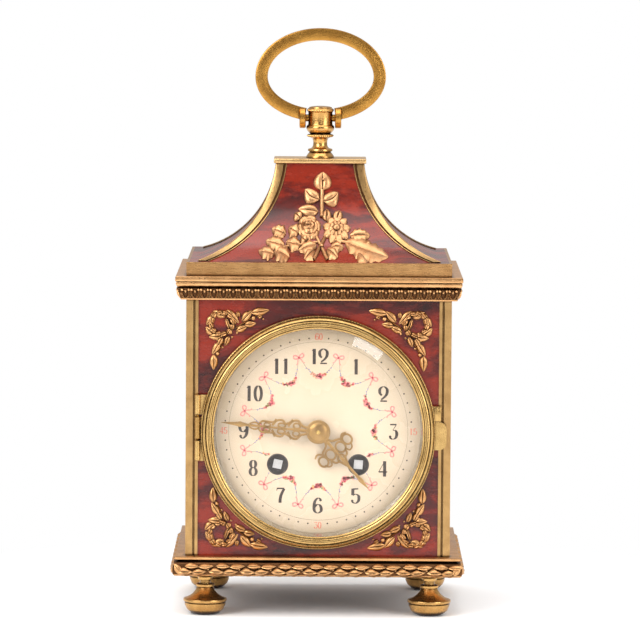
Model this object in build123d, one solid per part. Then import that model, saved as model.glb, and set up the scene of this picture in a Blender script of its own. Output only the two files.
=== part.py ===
from build123d import *
import math
import os

# Movement plates, and the rings that stand round them, from the inside outwards
PLATE_RADIUS = 41.5
PLATE_ROOM = 4.6
SURROUND_WALL = 1.9
HOLE_IN_BEZEL = 3.6
TUBE_BORE = PLATE_RADIUS + PLATE_ROOM
CASE_HOLE = TUBE_BORE + SURROUND_WALL
BEZEL_RADIUS = CASE_HOLE + HOLE_IN_BEZEL

# Case: what the front shows round the bezel, and the outside sizes that follow
SIDE_MARGIN = 6.7
MARGIN_ABOVE = 6.7
MARGIN_BELOW = 3.4
BODY_WIDTH = 2 * (BEZEL_RADIUS + SIDE_MARGIN)
BODY_DEPTH = 100.0
FOOT_HEIGHT = 18.5
BASE_HEIGHT = 8.5
BODY_HEIGHT = MARGIN_BELOW + 2 * BEZEL_RADIUS + MARGIN_ABOVE
DIAL_HEIGHT = FOOT_HEIGHT + BASE_HEIGHT + MARGIN_BELOW + BEZEL_RADIUS
CORNICE_HEIGHT = 10.3
FASCIA_HEIGHT = 6.0
HOOD_HEIGHT = 41.7
TOP_PLATE_THICK = 2.0
TOP_PLATE_WIDTH = 41.2
BASE_OVERHANG = 6.4
CORNICE_OVERHANG = 4.8
FOOT_INSET = 8.7
FOOT_SOLE = 2.6
FOOT_RIM = 9.67
FOOT_RIM_LEVEL = 5.8
FOOT_COLLAR = 4.15
FOOT_FLANGE = 3.3
FOOT_STUD = 1.5
FOOT_STUD_LENGTH = 6.0

# Case, walls and skins
WALL = 8.0
VENEER = 1.2
POST_LEG = 5.4
POST_PROUD = 0.8
POST_BAND = 3.1
POST_GROOVE = 1.0
BOARD_THICK = 8.5
HOOD_STRIP = 4.4
FASCIA_THICK = 1.2
HOOD_STEP = 5.1
HOOD_HOLLOW = 8.15
TOP_PLATE_LAP = 1.3
RELIEF = 2.2
SEAT_GAP = 0.1

# Handle
PIVOT_ABOVE_TOP = 17.8
HEAD_BELOW_PIVOT = 7.2
HEAD_RADIUS = 5.4
HEAD_BULGE = 6.26
PEDESTAL_RADIUS = 6.26
NECK_RADIUS = 3.36
EAR_RADIUS = 4.6
EAR_THICK = 2.8
EAR_GAP = 0.3
PIN_RADIUS = 1.6
BAIL_HALF_WIDTH = 29.2
BAIL_RISE = 21.8
BAIL_DROP = 20.0
BAIL_BAND = 5.5
BAIL_THICK = 3.4
BAIL_CENTRE_ABOVE_PIVOT = 18.4
STEM_RADIUS = 2.0
STEM_LENGTH = 12.0

# Wreath: centre from the body's corner, ring size, and the two leaf arms
WREATH_INSET = 14.2
WREATH_DROP = 9.2
WREATH_RADIUS = 6.6
WREATH_BAND = 3.3
WREATH_ARM = 19.5
WREATH_ARM_WIDTH = 5.4

# Dial opening and bezel
FLANGE_IN_BEZEL = 0.8
SURROUND_FLANGE_THICK = 1.0
SURROUND_TUBE_LENGTH = 11.2
LIP_IN_HOLE = 2.8
BEZEL_WIDTH = 5.7
BEZEL_THICK = 4.6
BEZEL_GAP = 0.3
GLASS_THICK = 2.0
GLASS_LAP = 1.6
GLASS_SEAT = 1.3
GLASS_PROUD = 0.6
GLASS_BEVEL = 4.5
DIAL_THICK = 1.6
DIAL_PLATE_THICK = 1.5
DIAL_SETBACK = 3.4
WINDING_HOLE = 4.6
BARRELS_APART = 0.64
WINDING_DROP = 14.8
HINGE_BARREL = 1.3
HINGE_PIN = 0.6
HINGE_LENGTH = 29.2
HINGE_RAISED = 1.8
HINGE_GAP = 0.2
HINGE_ROOM = 0.3
LEAF_HALF = 0.5
SURROUND_LEAF = 0.2
TAB_LENGTH = 12.6
TAB_REACH = 5.0
TAB_THICK = 2.4
TAB_LIFT = 0.5
TAB_DROP = 7.4
TAB_CORNER = 3.6
TAB_ROOT = 1.6
TAB_BLOCK_REACH = 2.4
TAB_BLOCK_LOW = 5.2
TAB_BLOCK_HIGH = 12.0

# Movement
PLATE_THICK = 2.2
PLATE_FLAT = 30.0
PLATE_GAP = 25.8
DIAL_TO_PLATE = 6.2
PILLAR_RADIUS = 2.2
PILLAR_INSET = 5.1
PILLAR_ANGLES = (13.0, 48.0, 132.0, 167.0, 270.0)
DIAL_FOOT_RADIUS = 1.5
DIAL_FOOT_INSET = 2.9
DIAL_FOOT_ANGLES = (45.0, 135.0, 270.0)
ARBOR = 1.0
PIVOT = 0.6
PIVOT_SHORT = 0.3
END_SHAKE = 0.2
SLIM_ARBOR = 0.8
CENTRE_ARBOR = 0.9
STUD = 0.5
RUN_CLEARANCE = 0.05
WINDING_ARBOR = 2.2
WINDING_SQUARE = 3.9
SQUARE_SUNK = 0.8
GOING_SQUARE_TURN = 5.0
STRIKE_SQUARE_TURN = 12.0
ARBOR_CORE = 4.6
ARBOR_CORE_INSET = 2.5
BARREL_DRUM = 15.4
BARREL_LENGTH = 14.0
BARREL_WALL = 1.2
GREAT_WHEEL_THICK = 2.0
GREAT_WHEEL_FROM_BACK = 1.5
WHEEL_THICK = 1.0
STRAP_HALF_WIDTH = 3.5
STRAP_THICK = 1.6
STRAP_GAP = 0.1
LUG_THICK = 2.0
LUG_LAP = 2.6
BELL_RADIUS = 30.0
BELL_DEPTH = 18.0
BELL_WALL = 1.2
BELL_DROP = 8.0
BELL_FROM_PLATE = 10.5
BELL_BOSS = 5.0
BELL_POST = 1.8
BELL_STAND_FOOT = 4.0
BELL_NUT = 3.4
BELL_NUT_THICK = 2.2
HAMMER_LEFT = 25.0
HAMMER_RISE = 23.0
HAMMER_SPINDLE = 1.0
HAMMER_HUB = 2.4
HAMMER_ARM = 1.5
HAMMER_HEAD = 3.0
HAMMER_HEAD_LENGTH = 9.0
HAMMER_REACH = 0.5
PLATFORM_HALF = 14.0
PLATFORM_THICK = 1.6
COCK_WIDTH = 5.0
COCK_LEVEL = 8.0
COCK_THICK = 1.4
BALANCE_X = 4.0
BALANCE_BACK = 2.0
BALANCE_RISE = 5.0
BALANCE_RADIUS = 6.5
BALANCE_RIM = 1.0
BALANCE_THICK = 0.9
BALANCE_STAFF = 0.4
HAIRSPRING = 3.0
ROLLER = 1.2

# Rear ring and door
REAR_HOLE_SMALLER = 1.6
REAR_TUBE_WALL = 2.6
REAR_LAP = 2.6
REAR_GAP = 0.3
REAR_HINGE_HALF = 9.0
DOOR_IN_FLANGE = 1.8
DOOR_THICK = 1.5
DOOR_RIM_WIDTH = 3.0
DOOR_RIM_PROUD = 0.8
DOOR_KNOB = 1.8
DOOR_KNOB_INSET = 6.0

# Hands, as they stand in the photograph
MINUTE_ANGLE = 275.4
HOUR_ANGLE = 138.5
MINUTE_SHORT_OF_LIP = 2.2
HOUR_SHORTER = 9.3
HAND_THICK = 0.5
HAND_ROOT = 2.6
HAND_TIP = 0.7
HUB_RADIUS = 5.3
BOSS_RISE = 0.9
HOUR_HUB = 4.4
HOUR_COLLAR = 3.0
HOUR_COLLAR_LENGTH = 0.8
HOUR_ABOVE_DIAL = 1.9
MINUTE_ABOVE_DIAL = 3.6
CANNON_PIPE = 1.3
HOUR_PIPE = 1.9
DIAL_CENTRE_HOLE = 2.6
SMALLEST_PIERCED = 2.4

# Loops of the pierced hands: distance from the centre and half width
HOUR_LOOPS = [(9.0, 5.2), (16.5, 3.4), (22.5, 2.0)]
MINUTE_LOOPS = [(11.0, 3.6), (18.0, 2.6), (25.0, 1.7)]

# Wheel counts and modules
BARREL_TEETH = 86
BARREL_MODULE = 0.40
PINION_LEAVES = 10
INTERMEDIATE_TEETH = 60
INTERMEDIATE_MODULE = 0.35
CENTRE_TEETH = 64
CENTRE_MODULE = 0.33
SMALL_LEAVES = 8
THIRD_TEETH = 60
THIRD_MODULE = 0.30
CONTRATE_RADIUS = 8.0
CROWN_TEETH = 54
CROWN_DEPTH = 1.6
CROWN_WALL = 0.8
STRIKE_TEETH = 60
STRIKE_MODULE = 0.32
PIN_WHEEL_TEETH = 50
PIN_WHEEL_MODULE = 0.30
LIFTING_PINS = 8
LIFTING_PIN = 0.4
LIFTING_CIRCLE = 5.6
LIFTING_LENGTH = 2.5
FLY_LEAVES = 6
FLY_ARBOR = 0.7
FLY_BACKLASH = 0.08
VANE_REACH = 3.3
VANE_START = 1.5
VANE_LENGTH = 11.0
VANE_THICK = 0.5
CANNON_LEAVES = 12
MINUTE_TEETH = 36
MOTION_MODULE_A = 0.25
MOTION_LEAVES = 10
HOUR_TEETH = 40
RATCHET_TEETH = 24
RATCHET_MODULE = 0.5
RATCHET_THICK = 1.5
RATCHET_CLEAR = 0.4

# Directions from each wheel to the next that it drives
THIRD_ANGLE = 107.0
CONTRATE_ANGLE = 67.2
PIN_WHEEL_ANGLE = 115.0
FLY_ANGLE = 60.0

# Heights of the wheels behind the front plate
CENTRE_WHEEL_AT = 1.1
INTERMEDIATE_AT = 3.8
CONTRATE_AT = 8.0
THIRD_AT = 14.3
PIN_WHEEL_AT = 19.3

# Levels, radii and faces worked out from the sizes above
SURROUND_FLANGE = BEZEL_RADIUS - FLANGE_IN_BEZEL
SURROUND_LIP = CASE_HOLE - LIP_IN_HOLE
BEZEL_SIGHT = BEZEL_RADIUS - BEZEL_WIDTH
MINUTE_LENGTH = SURROUND_LIP - MINUTE_SHORT_OF_LIP
HOUR_LENGTH = MINUTE_LENGTH - HOUR_SHORTER
REAR_HOLE = CASE_HOLE - REAR_HOLE_SMALLER
REAR_FLANGE = REAR_HOLE + REAR_LAP
DOOR_RADIUS = REAR_FLANGE - DOOR_IN_FLANGE
TOOTH_TIP = 0.7
TOOTH_ROOT = 1.0
GREAT_WHEEL_TIP = BARREL_MODULE * (BARREL_TEETH / 2 + TOOTH_TIP)
WINDING_SPREAD = GREAT_WHEEL_TIP + BARRELS_APART / 2
HALF_W = BODY_WIDTH / 2
HALF_D = BODY_DEPTH / 2
BASE_TOP = FOOT_HEIGHT + BASE_HEIGHT
BODY_TOP = BASE_TOP + BODY_HEIGHT
CORNICE_TOP = BODY_TOP + CORNICE_HEIGHT
FASCIA_TOP = CORNICE_TOP + FASCIA_HEIGHT
HOOD_TOP = FASCIA_TOP + HOOD_HEIGHT
PLATE_TOP = HOOD_TOP + TOP_PLATE_THICK
PIVOT_Z = PLATE_TOP + PIVOT_ABOVE_TOP
SKIN = POST_PROUD
FRONT_SKIN = -HALF_D + SKIN
CARCASS_W = HALF_W - SKIN - VENEER
CARCASS_D = HALF_D - SKIN - VENEER
FLANGE_FACE = FRONT_SKIN - SURROUND_FLANGE_THICK
BEZEL_BACK = FLANGE_FACE - BEZEL_GAP
BEZEL_FACE = BEZEL_BACK - BEZEL_THICK
DIAL_FACE = FRONT_SKIN + DIAL_SETBACK
DIAL_BACK = DIAL_FACE + DIAL_THICK
DIAL_PLATE_BACK = DIAL_BACK + DIAL_PLATE_THICK
HOUR_HAND_FACE = DIAL_FACE - HOUR_ABOVE_DIAL
MINUTE_HAND_FACE = DIAL_FACE - MINUTE_ABOVE_DIAL
FRONT_PLATE_FACE = DIAL_PLATE_BACK + DIAL_TO_PLATE
FRONT_PLATE_BACK = FRONT_PLATE_FACE + PLATE_THICK
BACK_PLATE_FACE = FRONT_PLATE_BACK + PLATE_GAP
BACK_PLATE_BACK = BACK_PLATE_FACE + PLATE_THICK
TUBE_END = FLANGE_FACE + SURROUND_FLANGE_THICK + SURROUND_TUBE_LENGTH
REAR_FACE = HALF_D - SKIN
REAR_TUBE_END = CARCASS_D - WALL
DOOR_FACE = REAR_FACE + SURROUND_FLANGE_THICK + REAR_GAP
REAR_HINGE_X = REAR_FLANGE + HINGE_BARREL + 0.1
REAR_HINGE_Y = HALF_D + HINGE_BARREL + 0.4
HINGE_X = -(BEZEL_RADIUS + HINGE_BARREL + 0.1)
HINGE_Y = -(HALF_D + HINGE_BARREL + 0.5)


def box(x0, x1, y0, y1, z0, z1):
    solid = Box(x1 - x0, y1 - y0, z1 - z0)
    return Pos((x0 + x1) / 2, (y0 + y1) / 2, (z0 + z1) / 2) * solid


def rod_y(radius, y0, y1, x=0.0, z=0.0):
    return Pos(x, (y0 + y1) / 2, z) * Rot(90, 0, 0) * Cylinder(radius, y1 - y0)


def rod_z(radius, z0, z1, x=0.0, y=0.0):
    return Pos(x, y, (z0 + z1) / 2) * Cylinder(radius, z1 - z0)


def rod_x(radius, x0, x1, y=0.0, z=0.0):
    return Pos((x0 + x1) / 2, y, z) * Rot(0, 90, 0) * Cylinder(radius, x1 - x0)


def turned_z(points, x=0.0, y=0.0):
    outline = make_face(Polyline([(r, 0, z) for r, z in points], close=True))
    return Pos(x, y, 0) * revolve(outline, Axis.Z)


def turned_y(points, x=0.0, z=0.0):
    outline = make_face(Polyline([(r, y, 0) for r, y in points], close=True))
    return Pos(x, 0, z) * revolve(outline, Axis.Y)


def plate_y(points, y0, y1):
    outline = make_face(Polyline([(x, 0, z) for x, z in points], close=True))
    return Pos(0, y0, 0) * extrude(outline, amount=y1 - y0, dir=(0, 1, 0))


def mitred(profile, extra_w=0.0, extra_d=0.0):
    # A moulding with mitred corners: (overhang, height) points on all four sides
    right = [(HALF_W + extra_w + o, z) for o, z in profile]
    left = [(-x, z) for x, z in reversed(right)]
    across = make_face(Polyline([(x, 0, z) for x, z in right + left], close=True))
    front = [(HALF_D + extra_d + o, z) for o, z in profile]
    back = [(-y, z) for y, z in reversed(front)]
    along = make_face(Polyline([(0, y, z) for y, z in front + back], close=True))
    wide = extrude(across, amount=BODY_DEPTH, dir=(0, 1, 0), both=True)
    deep = extrude(along, amount=BODY_WIDTH, dir=(1, 0, 0), both=True)
    return wide & deep


# Base and feet


def base_moulding():
    profile = [
        (BASE_OVERHANG - 1.6, FOOT_HEIGHT),
        (BASE_OVERHANG - 0.4, FOOT_HEIGHT + 0.7),
        (BASE_OVERHANG, FOOT_HEIGHT + 3.0),
        (BASE_OVERHANG - 0.3, FOOT_HEIGHT + 5.2),
        (BASE_OVERHANG - 1.5, FOOT_HEIGHT + 6.6),
        (BASE_OVERHANG - 2.4, FOOT_HEIGHT + 7.2),
        (BASE_OVERHANG - 1.9, BASE_TOP - 0.9),
        (BASE_OVERHANG - 1.9, BASE_TOP),
    ]
    hollow = box(-CARCASS_W, CARCASS_W, -CARCASS_D, CARCASS_D, FOOT_HEIGHT - 1, BASE_TOP + 1)
    return mitred(profile) - hollow


def foot_places():
    x = HALF_W - FOOT_INSET
    y = HALF_D - FOOT_INSET
    return {
        "foot_front_left": (-x, -y),
        "foot_front_right": (x, -y),
        "foot_back_left": (-x, y),
        "foot_back_right": (x, y),
    }


def base_board():
    board = box(-CARCASS_W, CARCASS_W, -CARCASS_D, CARCASS_D, FOOT_HEIGHT, FOOT_HEIGHT + BOARD_THICK)
    for x, y in foot_places().values():
        board -= rod_z(FOOT_STUD, FOOT_HEIGHT - 1, FOOT_HEIGHT + FOOT_STUD_LENGTH, x, y)
    return board


def foot(x, y):
    top = FOOT_HEIGHT
    rim = FOOT_RIM_LEVEL
    points = [
        (0, 0), (FOOT_SOLE, 0), (4.6, 0.8), (6.9, 2.4), (8.6, 4.2), (9.2, rim - 0.7),
        (8.9, rim - 0.4), (FOOT_RIM, rim), (FOOT_RIM, rim + 0.7), (8.9, rim + 1.4),
        (6.9, rim + 2.5), (5.2, rim + 4.0), (4.45, rim + 5.2),
        (FOOT_COLLAR, rim + 5.5), (FOOT_COLLAR, rim + 6.8), (2.5, rim + 7.3), (2.4, rim + 8.7),
        (FOOT_FLANGE, rim + 9.3), (FOOT_FLANGE, rim + 10.5), (3.0, top), (FOOT_STUD, top),
        (FOOT_STUD, top + FOOT_STUD_LENGTH), (0, top + FOOT_STUD_LENGTH),
    ]
    return turned_z(points, x, y)


# Body


def carcass():
    outside = box(-CARCASS_W, CARCASS_W, -CARCASS_D, CARCASS_D, BASE_TOP, BODY_TOP)
    inside = box(
        -CARCASS_W + WALL, CARCASS_W - WALL, -CARCASS_D + WALL, CARCASS_D - WALL,
        BASE_TOP - 1, BODY_TOP + 1,
    )
    front_hole = rod_y(CASE_HOLE, -CARCASS_D - 1, -CARCASS_D + WALL + 1, 0, DIAL_HEIGHT)
    rear_hole = rod_y(REAR_HOLE, CARCASS_D - WALL - 1, CARCASS_D + 1, 0, DIAL_HEIGHT)
    return outside - inside - front_hole - rear_hole


def veneers():
    w = HALF_W - POST_LEG
    d = HALF_D - POST_LEG
    front = box(-w, w, -CARCASS_D - VENEER, -CARCASS_D, BASE_TOP, BODY_TOP)
    back = box(-w, w, CARCASS_D, CARCASS_D + VENEER, BASE_TOP, BODY_TOP)
    left = box(-CARCASS_W - VENEER, -CARCASS_W, -d, d, BASE_TOP, BODY_TOP)
    right = box(CARCASS_W, CARCASS_W + VENEER, -d, d, BASE_TOP, BODY_TOP)
    front -= rod_y(CASE_HOLE, -HALF_D, HALF_D, 0, DIAL_HEIGHT)
    back -= rod_y(REAR_HOLE, -HALF_D, HALF_D, 0, DIAL_HEIGHT)
    return {"front_panel": front, "back_panel": back, "left_panel": left, "right_panel": right}


def corner_posts():
    outer = box(-HALF_W, HALF_W, -HALF_D, HALF_D, BASE_TOP, BODY_TOP)
    outer -= box(-CARCASS_W, CARCASS_W, -CARCASS_D, CARCASS_D, BASE_TOP - 1, BODY_TOP + 1)
    w = HALF_W - POST_LEG
    d = HALF_D - POST_LEG
    outer -= box(-w, w, -HALF_D - 1, HALF_D + 1, BASE_TOP - 1, BODY_TOP + 1)
    outer -= box(-HALF_W - 1, HALF_W + 1, -d, d, BASE_TOP - 1, BODY_TOP + 1)
    for sx in (-1, 1):
        for sy in (-1, 1):
            a = sorted((sx * (HALF_W - POST_BAND), sx * (HALF_W - POST_BAND - POST_GROOVE)))
            b = sorted((sy * (HALF_D - POST_PROUD), sy * (HALF_D + 1)))
            outer -= box(a[0], a[1], b[0], b[1], BASE_TOP - 1, BODY_TOP + 1)
            a = sorted((sx * (HALF_W - POST_PROUD), sx * (HALF_W + 1)))
            b = sorted((sy * (HALF_D - POST_BAND), sy * (HALF_D - POST_BAND - POST_GROOVE)))
            outer -= box(a[0], a[1], b[0], b[1], BASE_TOP - 1, BODY_TOP + 1)
    return outer


def cornice_moulding():
    profile = [
        (0.0, BODY_TOP),
        (CORNICE_OVERHANG - 2.2, BODY_TOP),
        (CORNICE_OVERHANG - 1.6, BODY_TOP + 1.2),
        (CORNICE_OVERHANG - 0.5, BODY_TOP + 4.8),
        (CORNICE_OVERHANG - 0.8, BODY_TOP + 5.2),
        (CORNICE_OVERHANG, BODY_TOP + 5.5),
        (CORNICE_OVERHANG, BODY_TOP + 6.4),
        (CORNICE_OVERHANG - 0.7, BODY_TOP + 7.7),
        (CORNICE_OVERHANG - 1.8, BODY_TOP + 8.0),
        (CORNICE_OVERHANG - 1.8, CORNICE_TOP),
    ]
    hollow = box(
        -HALF_W + WALL, HALF_W - WALL, -HALF_D + WALL, HALF_D - WALL, BODY_TOP - 1, CORNICE_TOP + 1
    )
    return mitred(profile) - hollow


# Hood


def hood_arc():
    # Centre and radius of the hollow side: through the fascia's top and the top plate's underside
    low = (-HOOD_STEP, FASCIA_TOP)
    high = (TOP_PLATE_WIDTH / 2 - TOP_PLATE_LAP - HALF_W, HOOD_TOP)
    dx = high[0] - low[0]
    dz = high[1] - low[1]
    chord = math.hypot(dx, dz)
    radius = (chord**2 / 4 + HOOD_HOLLOW**2) / (2 * HOOD_HOLLOW)
    away = radius - HOOD_HOLLOW
    return (low[0] + high[0]) / 2 + dz / chord * away, (low[1] + high[1]) / 2 - dx / chord * away, radius


def hood_profile(inset):
    # Half outline of the concave hood, measured from the body's side
    cx, cz, arc = hood_arc()
    radius = arc + inset
    low = max(FASCIA_TOP, cz - radius + 0.02)
    points = []
    for z in (low, (low + HOOD_TOP) / 2, HOOD_TOP):
        points.append((cx - math.sqrt(radius**2 - (cz - z) ** 2), z))
    return points


def hood_face(half, inset, plane):
    low, middle, high = hood_profile(inset)
    place = (lambda a, z: (a, 0, z)) if plane == "x" else (lambda a, z: (0, a, z))
    right_points = [place(half + a, z) for a, z in (low, middle, high)]
    left_points = [place(-half - a, z) for a, z in (high, middle, low)]
    right = ThreePointArc(*right_points)
    left = ThreePointArc(*left_points)
    top = Line(right_points[-1], left_points[0])
    bottom = Line(left_points[-1], right_points[0])
    return make_face([right, top, left, bottom])


def hood_block(inset):
    wide = extrude(hood_face(HALF_W, inset, "x"), amount=BODY_DEPTH, dir=(0, 1, 0), both=True)
    deep = extrude(hood_face(HALF_D, inset, "y"), amount=BODY_WIDTH, dir=(1, 0, 0), both=True)
    return wide & deep


def hood_parts():
    skin = hood_block(0) - hood_block(VENEER)
    across = extrude(hood_face(HALF_W, HOOD_STRIP, "x"), amount=BODY_DEPTH, dir=(0, 1, 0), both=True)
    along = extrude(hood_face(HALF_D, HOOD_STRIP, "y"), amount=BODY_WIDTH, dir=(1, 0, 0), both=True)
    front_half = box(-BODY_WIDTH, BODY_WIDTH, -BODY_DEPTH, 0, FASCIA_TOP - 1, HOOD_TOP + 1)
    back_half = box(-BODY_WIDTH, BODY_WIDTH, 0, BODY_DEPTH, FASCIA_TOP - 1, HOOD_TOP + 1)
    left_half = box(-BODY_WIDTH, 0, -BODY_DEPTH, BODY_DEPTH, FASCIA_TOP - 1, HOOD_TOP + 1)
    right_half = box(0, BODY_WIDTH, -BODY_DEPTH, BODY_DEPTH, FASCIA_TOP - 1, HOOD_TOP + 1)
    parts = {
        "hood_front_panel": skin & across & front_half,
        "hood_back_panel": skin & across & back_half,
        "hood_left_panel": skin & along & left_half,
        "hood_right_panel": skin & along & right_half,
    }
    parts["hood_corner_strips"] = skin - across - along
    return parts


def hood_fascia():
    outer = box(-HALF_W, HALF_W, -HALF_D, HALF_D, CORNICE_TOP, FASCIA_TOP)
    return outer - box(
        -HALF_W + FASCIA_THICK, HALF_W - FASCIA_THICK, -HALF_D + FASCIA_THICK, HALF_D - FASCIA_THICK,
        CORNICE_TOP - 1, FASCIA_TOP + 1,
    )


def hood_core():
    inner_w = HALF_W - FASCIA_THICK
    inner_d = HALF_D - FASCIA_THICK
    slab = box(-inner_w, inner_w, -inner_d, inner_d, CORNICE_TOP, FASCIA_TOP)
    core = slab + hood_block(VENEER)
    return core - rod_z(STEM_RADIUS, PLATE_TOP - STEM_LENGTH, PLATE_TOP + 1)


def top_plate():
    half_w = TOP_PLATE_WIDTH / 2
    half_d = half_w - (HALF_W - HALF_D)
    plate = box(-half_w, half_w, -half_d, half_d, HOOD_TOP, PLATE_TOP)
    return plate - rod_z(STEM_RADIUS, HOOD_TOP - 1, PLATE_TOP + 1)


# Handle

HEAD_BASE = PIVOT_Z - HEAD_BELOW_PIVOT
EAR_INNER = HEAD_BULGE + EAR_GAP
EAR_OUTER = EAR_INNER + EAR_THICK


def handle_pedestal():
    z = PLATE_TOP
    points = [
        (0, z - STEM_LENGTH), (STEM_RADIUS, z - STEM_LENGTH), (STEM_RADIUS, z),
        (PEDESTAL_RADIUS, z), (PEDESTAL_RADIUS - 0.3, z + 0.9), (PEDESTAL_RADIUS - 1.2, z + 2.4),
        (5.0, z + 2.7), (5.5, z + 3.2), (5.5, z + 3.9), (4.3, z + 4.3),
        (NECK_RADIUS, z + 4.8), (NECK_RADIUS - 0.3, z + 6.8), (NECK_RADIUS, z + 8.8),
        (4.6, z + 9.2), (6.0, z + 9.6), (6.0, z + 10.3), (5.2, HEAD_BASE), (0, HEAD_BASE),
    ]
    return turned_z(points)


def handle_head():
    z = HEAD_BASE
    points = [
        (0, z), (5.0, z), (5.9, z + 1.6), (HEAD_BULGE, z + 2.6), (HEAD_BULGE, z + 3.6), (5.7, z + 4.2),
        (HEAD_RADIUS, z + 4.6), (HEAD_RADIUS, z + 9.8), (5.9, z + 10.2), (5.9, z + 11.4),
        (5.5, z + 11.7), (5.0, z + 12.2), (2.4, z + 12.6), (0, z + 12.7),
    ]
    return turned_z(points) - rod_x(PIN_RADIUS + RUN_CLEARANCE, -10, 10, 0, PIVOT_Z)


def handle_pin():
    return rod_x(PIN_RADIUS, -EAR_OUTER, EAR_OUTER, 0, PIVOT_Z)


def oval(half_width, rise, drop, centre_z):
    # An oval that is fuller above its widest place than below it
    top = Ellipse(half_width, rise) & Pos(0, rise / 2) * Rectangle(half_width * 2, rise)
    bottom = Ellipse(half_width, drop) & Pos(0, -drop / 2) * Rectangle(half_width * 2, drop)
    face = top + bottom
    return Pos(0, 0, centre_z) * Rot(90, 0, 0) * face


def handle_bail():
    centre = PIVOT_Z + BAIL_CENTRE_ABOVE_PIVOT
    outer = oval(BAIL_HALF_WIDTH, BAIL_RISE, BAIL_DROP, centre)
    inner = oval(
        BAIL_HALF_WIDTH - BAIL_BAND, BAIL_RISE - BAIL_BAND, BAIL_DROP - BAIL_BAND, centre
    )
    band = extrude(outer, amount=BAIL_THICK / 2, dir=(0, 1, 0), both=True)
    band -= extrude(inner, amount=BAIL_THICK, dir=(0, 1, 0), both=True)
    gap = EAR_INNER
    band -= box(-gap, gap, -BAIL_THICK, BAIL_THICK, PIVOT_Z - 12, centre)
    for side in (-1, 1):
        ends = sorted((side * EAR_INNER, side * EAR_OUTER))
        band += rod_x(EAR_RADIUS, ends[0], ends[1], 0, PIVOT_Z)
    return band - rod_x(PIN_RADIUS, -EAR_OUTER, EAR_OUTER, 0, PIVOT_Z)


# Cast mounts


def leaf_face(x, z, length, width, angle):
    # A pointed leaf with its root at (x, z), pointing along the angle in the front view
    half = width / 2
    tip = (length, 0)
    upper = ThreePointArc((0, 0), (length * 0.45, half), tip)
    lower = ThreePointArc(tip, (length * 0.45, -half), (0, 0))
    return Pos(x, 0, z) * Rot(90, 0, 0) * (Rot(0, 0, angle) * make_face([upper, lower]))


def round_face(x, z, radius):
    return Pos(x, 0, z) * Rot(90, 0, 0) * Circle(radius)


def stem_face(x0, z0, x1, z1, width):
    length = math.hypot(x1 - x0, z1 - z0)
    angle = math.degrees(math.atan2(z1 - z0, x1 - x0))
    middle = ((x0 + x1) / 2, 0, (z0 + z1) / 2)
    return Pos(*middle) * Rot(90, 0, 0) * (Rot(0, 0, angle) * Rectangle(length, width))


def wreath_centre(side, level):
    x = side * (HALF_W - WREATH_INSET)
    z = BODY_TOP - WREATH_DROP if level > 0 else BASE_TOP + WREATH_DROP
    return x, z


def wreath(side, level):
    x, z = wreath_centre(side, level)
    inward = 0 if side < 0 else 180
    along = inward + (8 if side * level > 0 else -8)
    upright = -90 if level > 0 else 90
    upright += 6 * (1 if side * level < 0 else -1)
    face = round_face(x, z, WREATH_RADIUS)
    face += leaf_face(x + side * -5.2, z, WREATH_ARM, WREATH_ARM_WIDTH, along)
    face += leaf_face(x + side * 1.6, z - level * 5.0, WREATH_ARM - 2, WREATH_ARM_WIDTH, upright)
    slab = extrude(face, amount=RELIEF, dir=(0, -1, 0))
    inner = round_face(x, z, WREATH_RADIUS - WREATH_BAND)
    hole = Pos(0, 1, 0) * extrude(inner, amount=RELIEF + 2, dir=(0, -1, 0))
    clear = rod_y(SURROUND_FLANGE + 1.4, -RELIEF - 1, 1, 0, DIAL_HEIGHT)
    return Pos(0, FRONT_SKIN, 0) * (slab - hole - clear)


def wreath_mounts():
    corners = [wreath(side, level) for level in (1, -1) for side in (-1, 1)]
    return Compound(children=corners)


def hood_bouquet():
    # The silhouette of the spray, pressed on to the hood's hollow front
    x, z = 0.9, FASCIA_TOP
    leaves = [
        (x, z + 26.0, 8.6, 5.8, 90), (x, z + 22.4, 7.6, 5.6, 160), (x + 0.4, z + 21.8, 7.8, 5.2, 18),
        (x - 0.6, z + 16.6, 9.4, 5.4, 155), (x - 10, z + 6.5, 12.4, 6.0, 176),
        (x - 9, z + 3.5, 13.0, 6.0, 196), (x - 8, z + 9.4, 9.0, 4.6, 150), (x + 9, z + 7.8, 11.4, 6.8, 20),
        (x + 8, z + 5.8, 19.6, 8.6, -10), (x + 5.2, z + 13, 5.4, 3.2, 60),
    ]
    face = round_face(x - 5.8, z + 10.6, 5.6) + round_face(x + 6.3, z + 9.6, 6.5)
    face += stem_face(x, z + 8, x, z + 27, 1.8)
    face += stem_face(x - 2.4, z + 0.8, x + 1.6, z + 13, 2.0)
    face += stem_face(x + 2.6, z + 0.8, x - 1.8, z + 13, 2.0)
    face += stem_face(x - 12, z + 7.2, x + 12, z + 7.2, 4.4)
    for leaf in leaves:
        face += leaf_face(*leaf)
    spray = extrude(face, amount=BODY_DEPTH, dir=(0, -1, 0))
    outer = extrude(hood_face(HALF_D, -RELIEF, "y"), amount=BODY_WIDTH, dir=(1, 0, 0), both=True)
    inner = extrude(hood_face(HALF_D, 0, "y"), amount=BODY_WIDTH, dir=(1, 0, 0), both=True)
    level = box(-BODY_WIDTH, BODY_WIDTH, -BODY_DEPTH, 0, FASCIA_TOP + 0.5, HOOD_TOP - 1)
    return spray & (outer - inner) & level


# Bezel, its glass and hinge


def hinge_levels():
    low = DIAL_HEIGHT - HINGE_LENGTH / 2 + HINGE_RAISED
    third = HINGE_LENGTH / 3
    return low, low + third, low + 2 * third, low + HINGE_LENGTH


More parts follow.
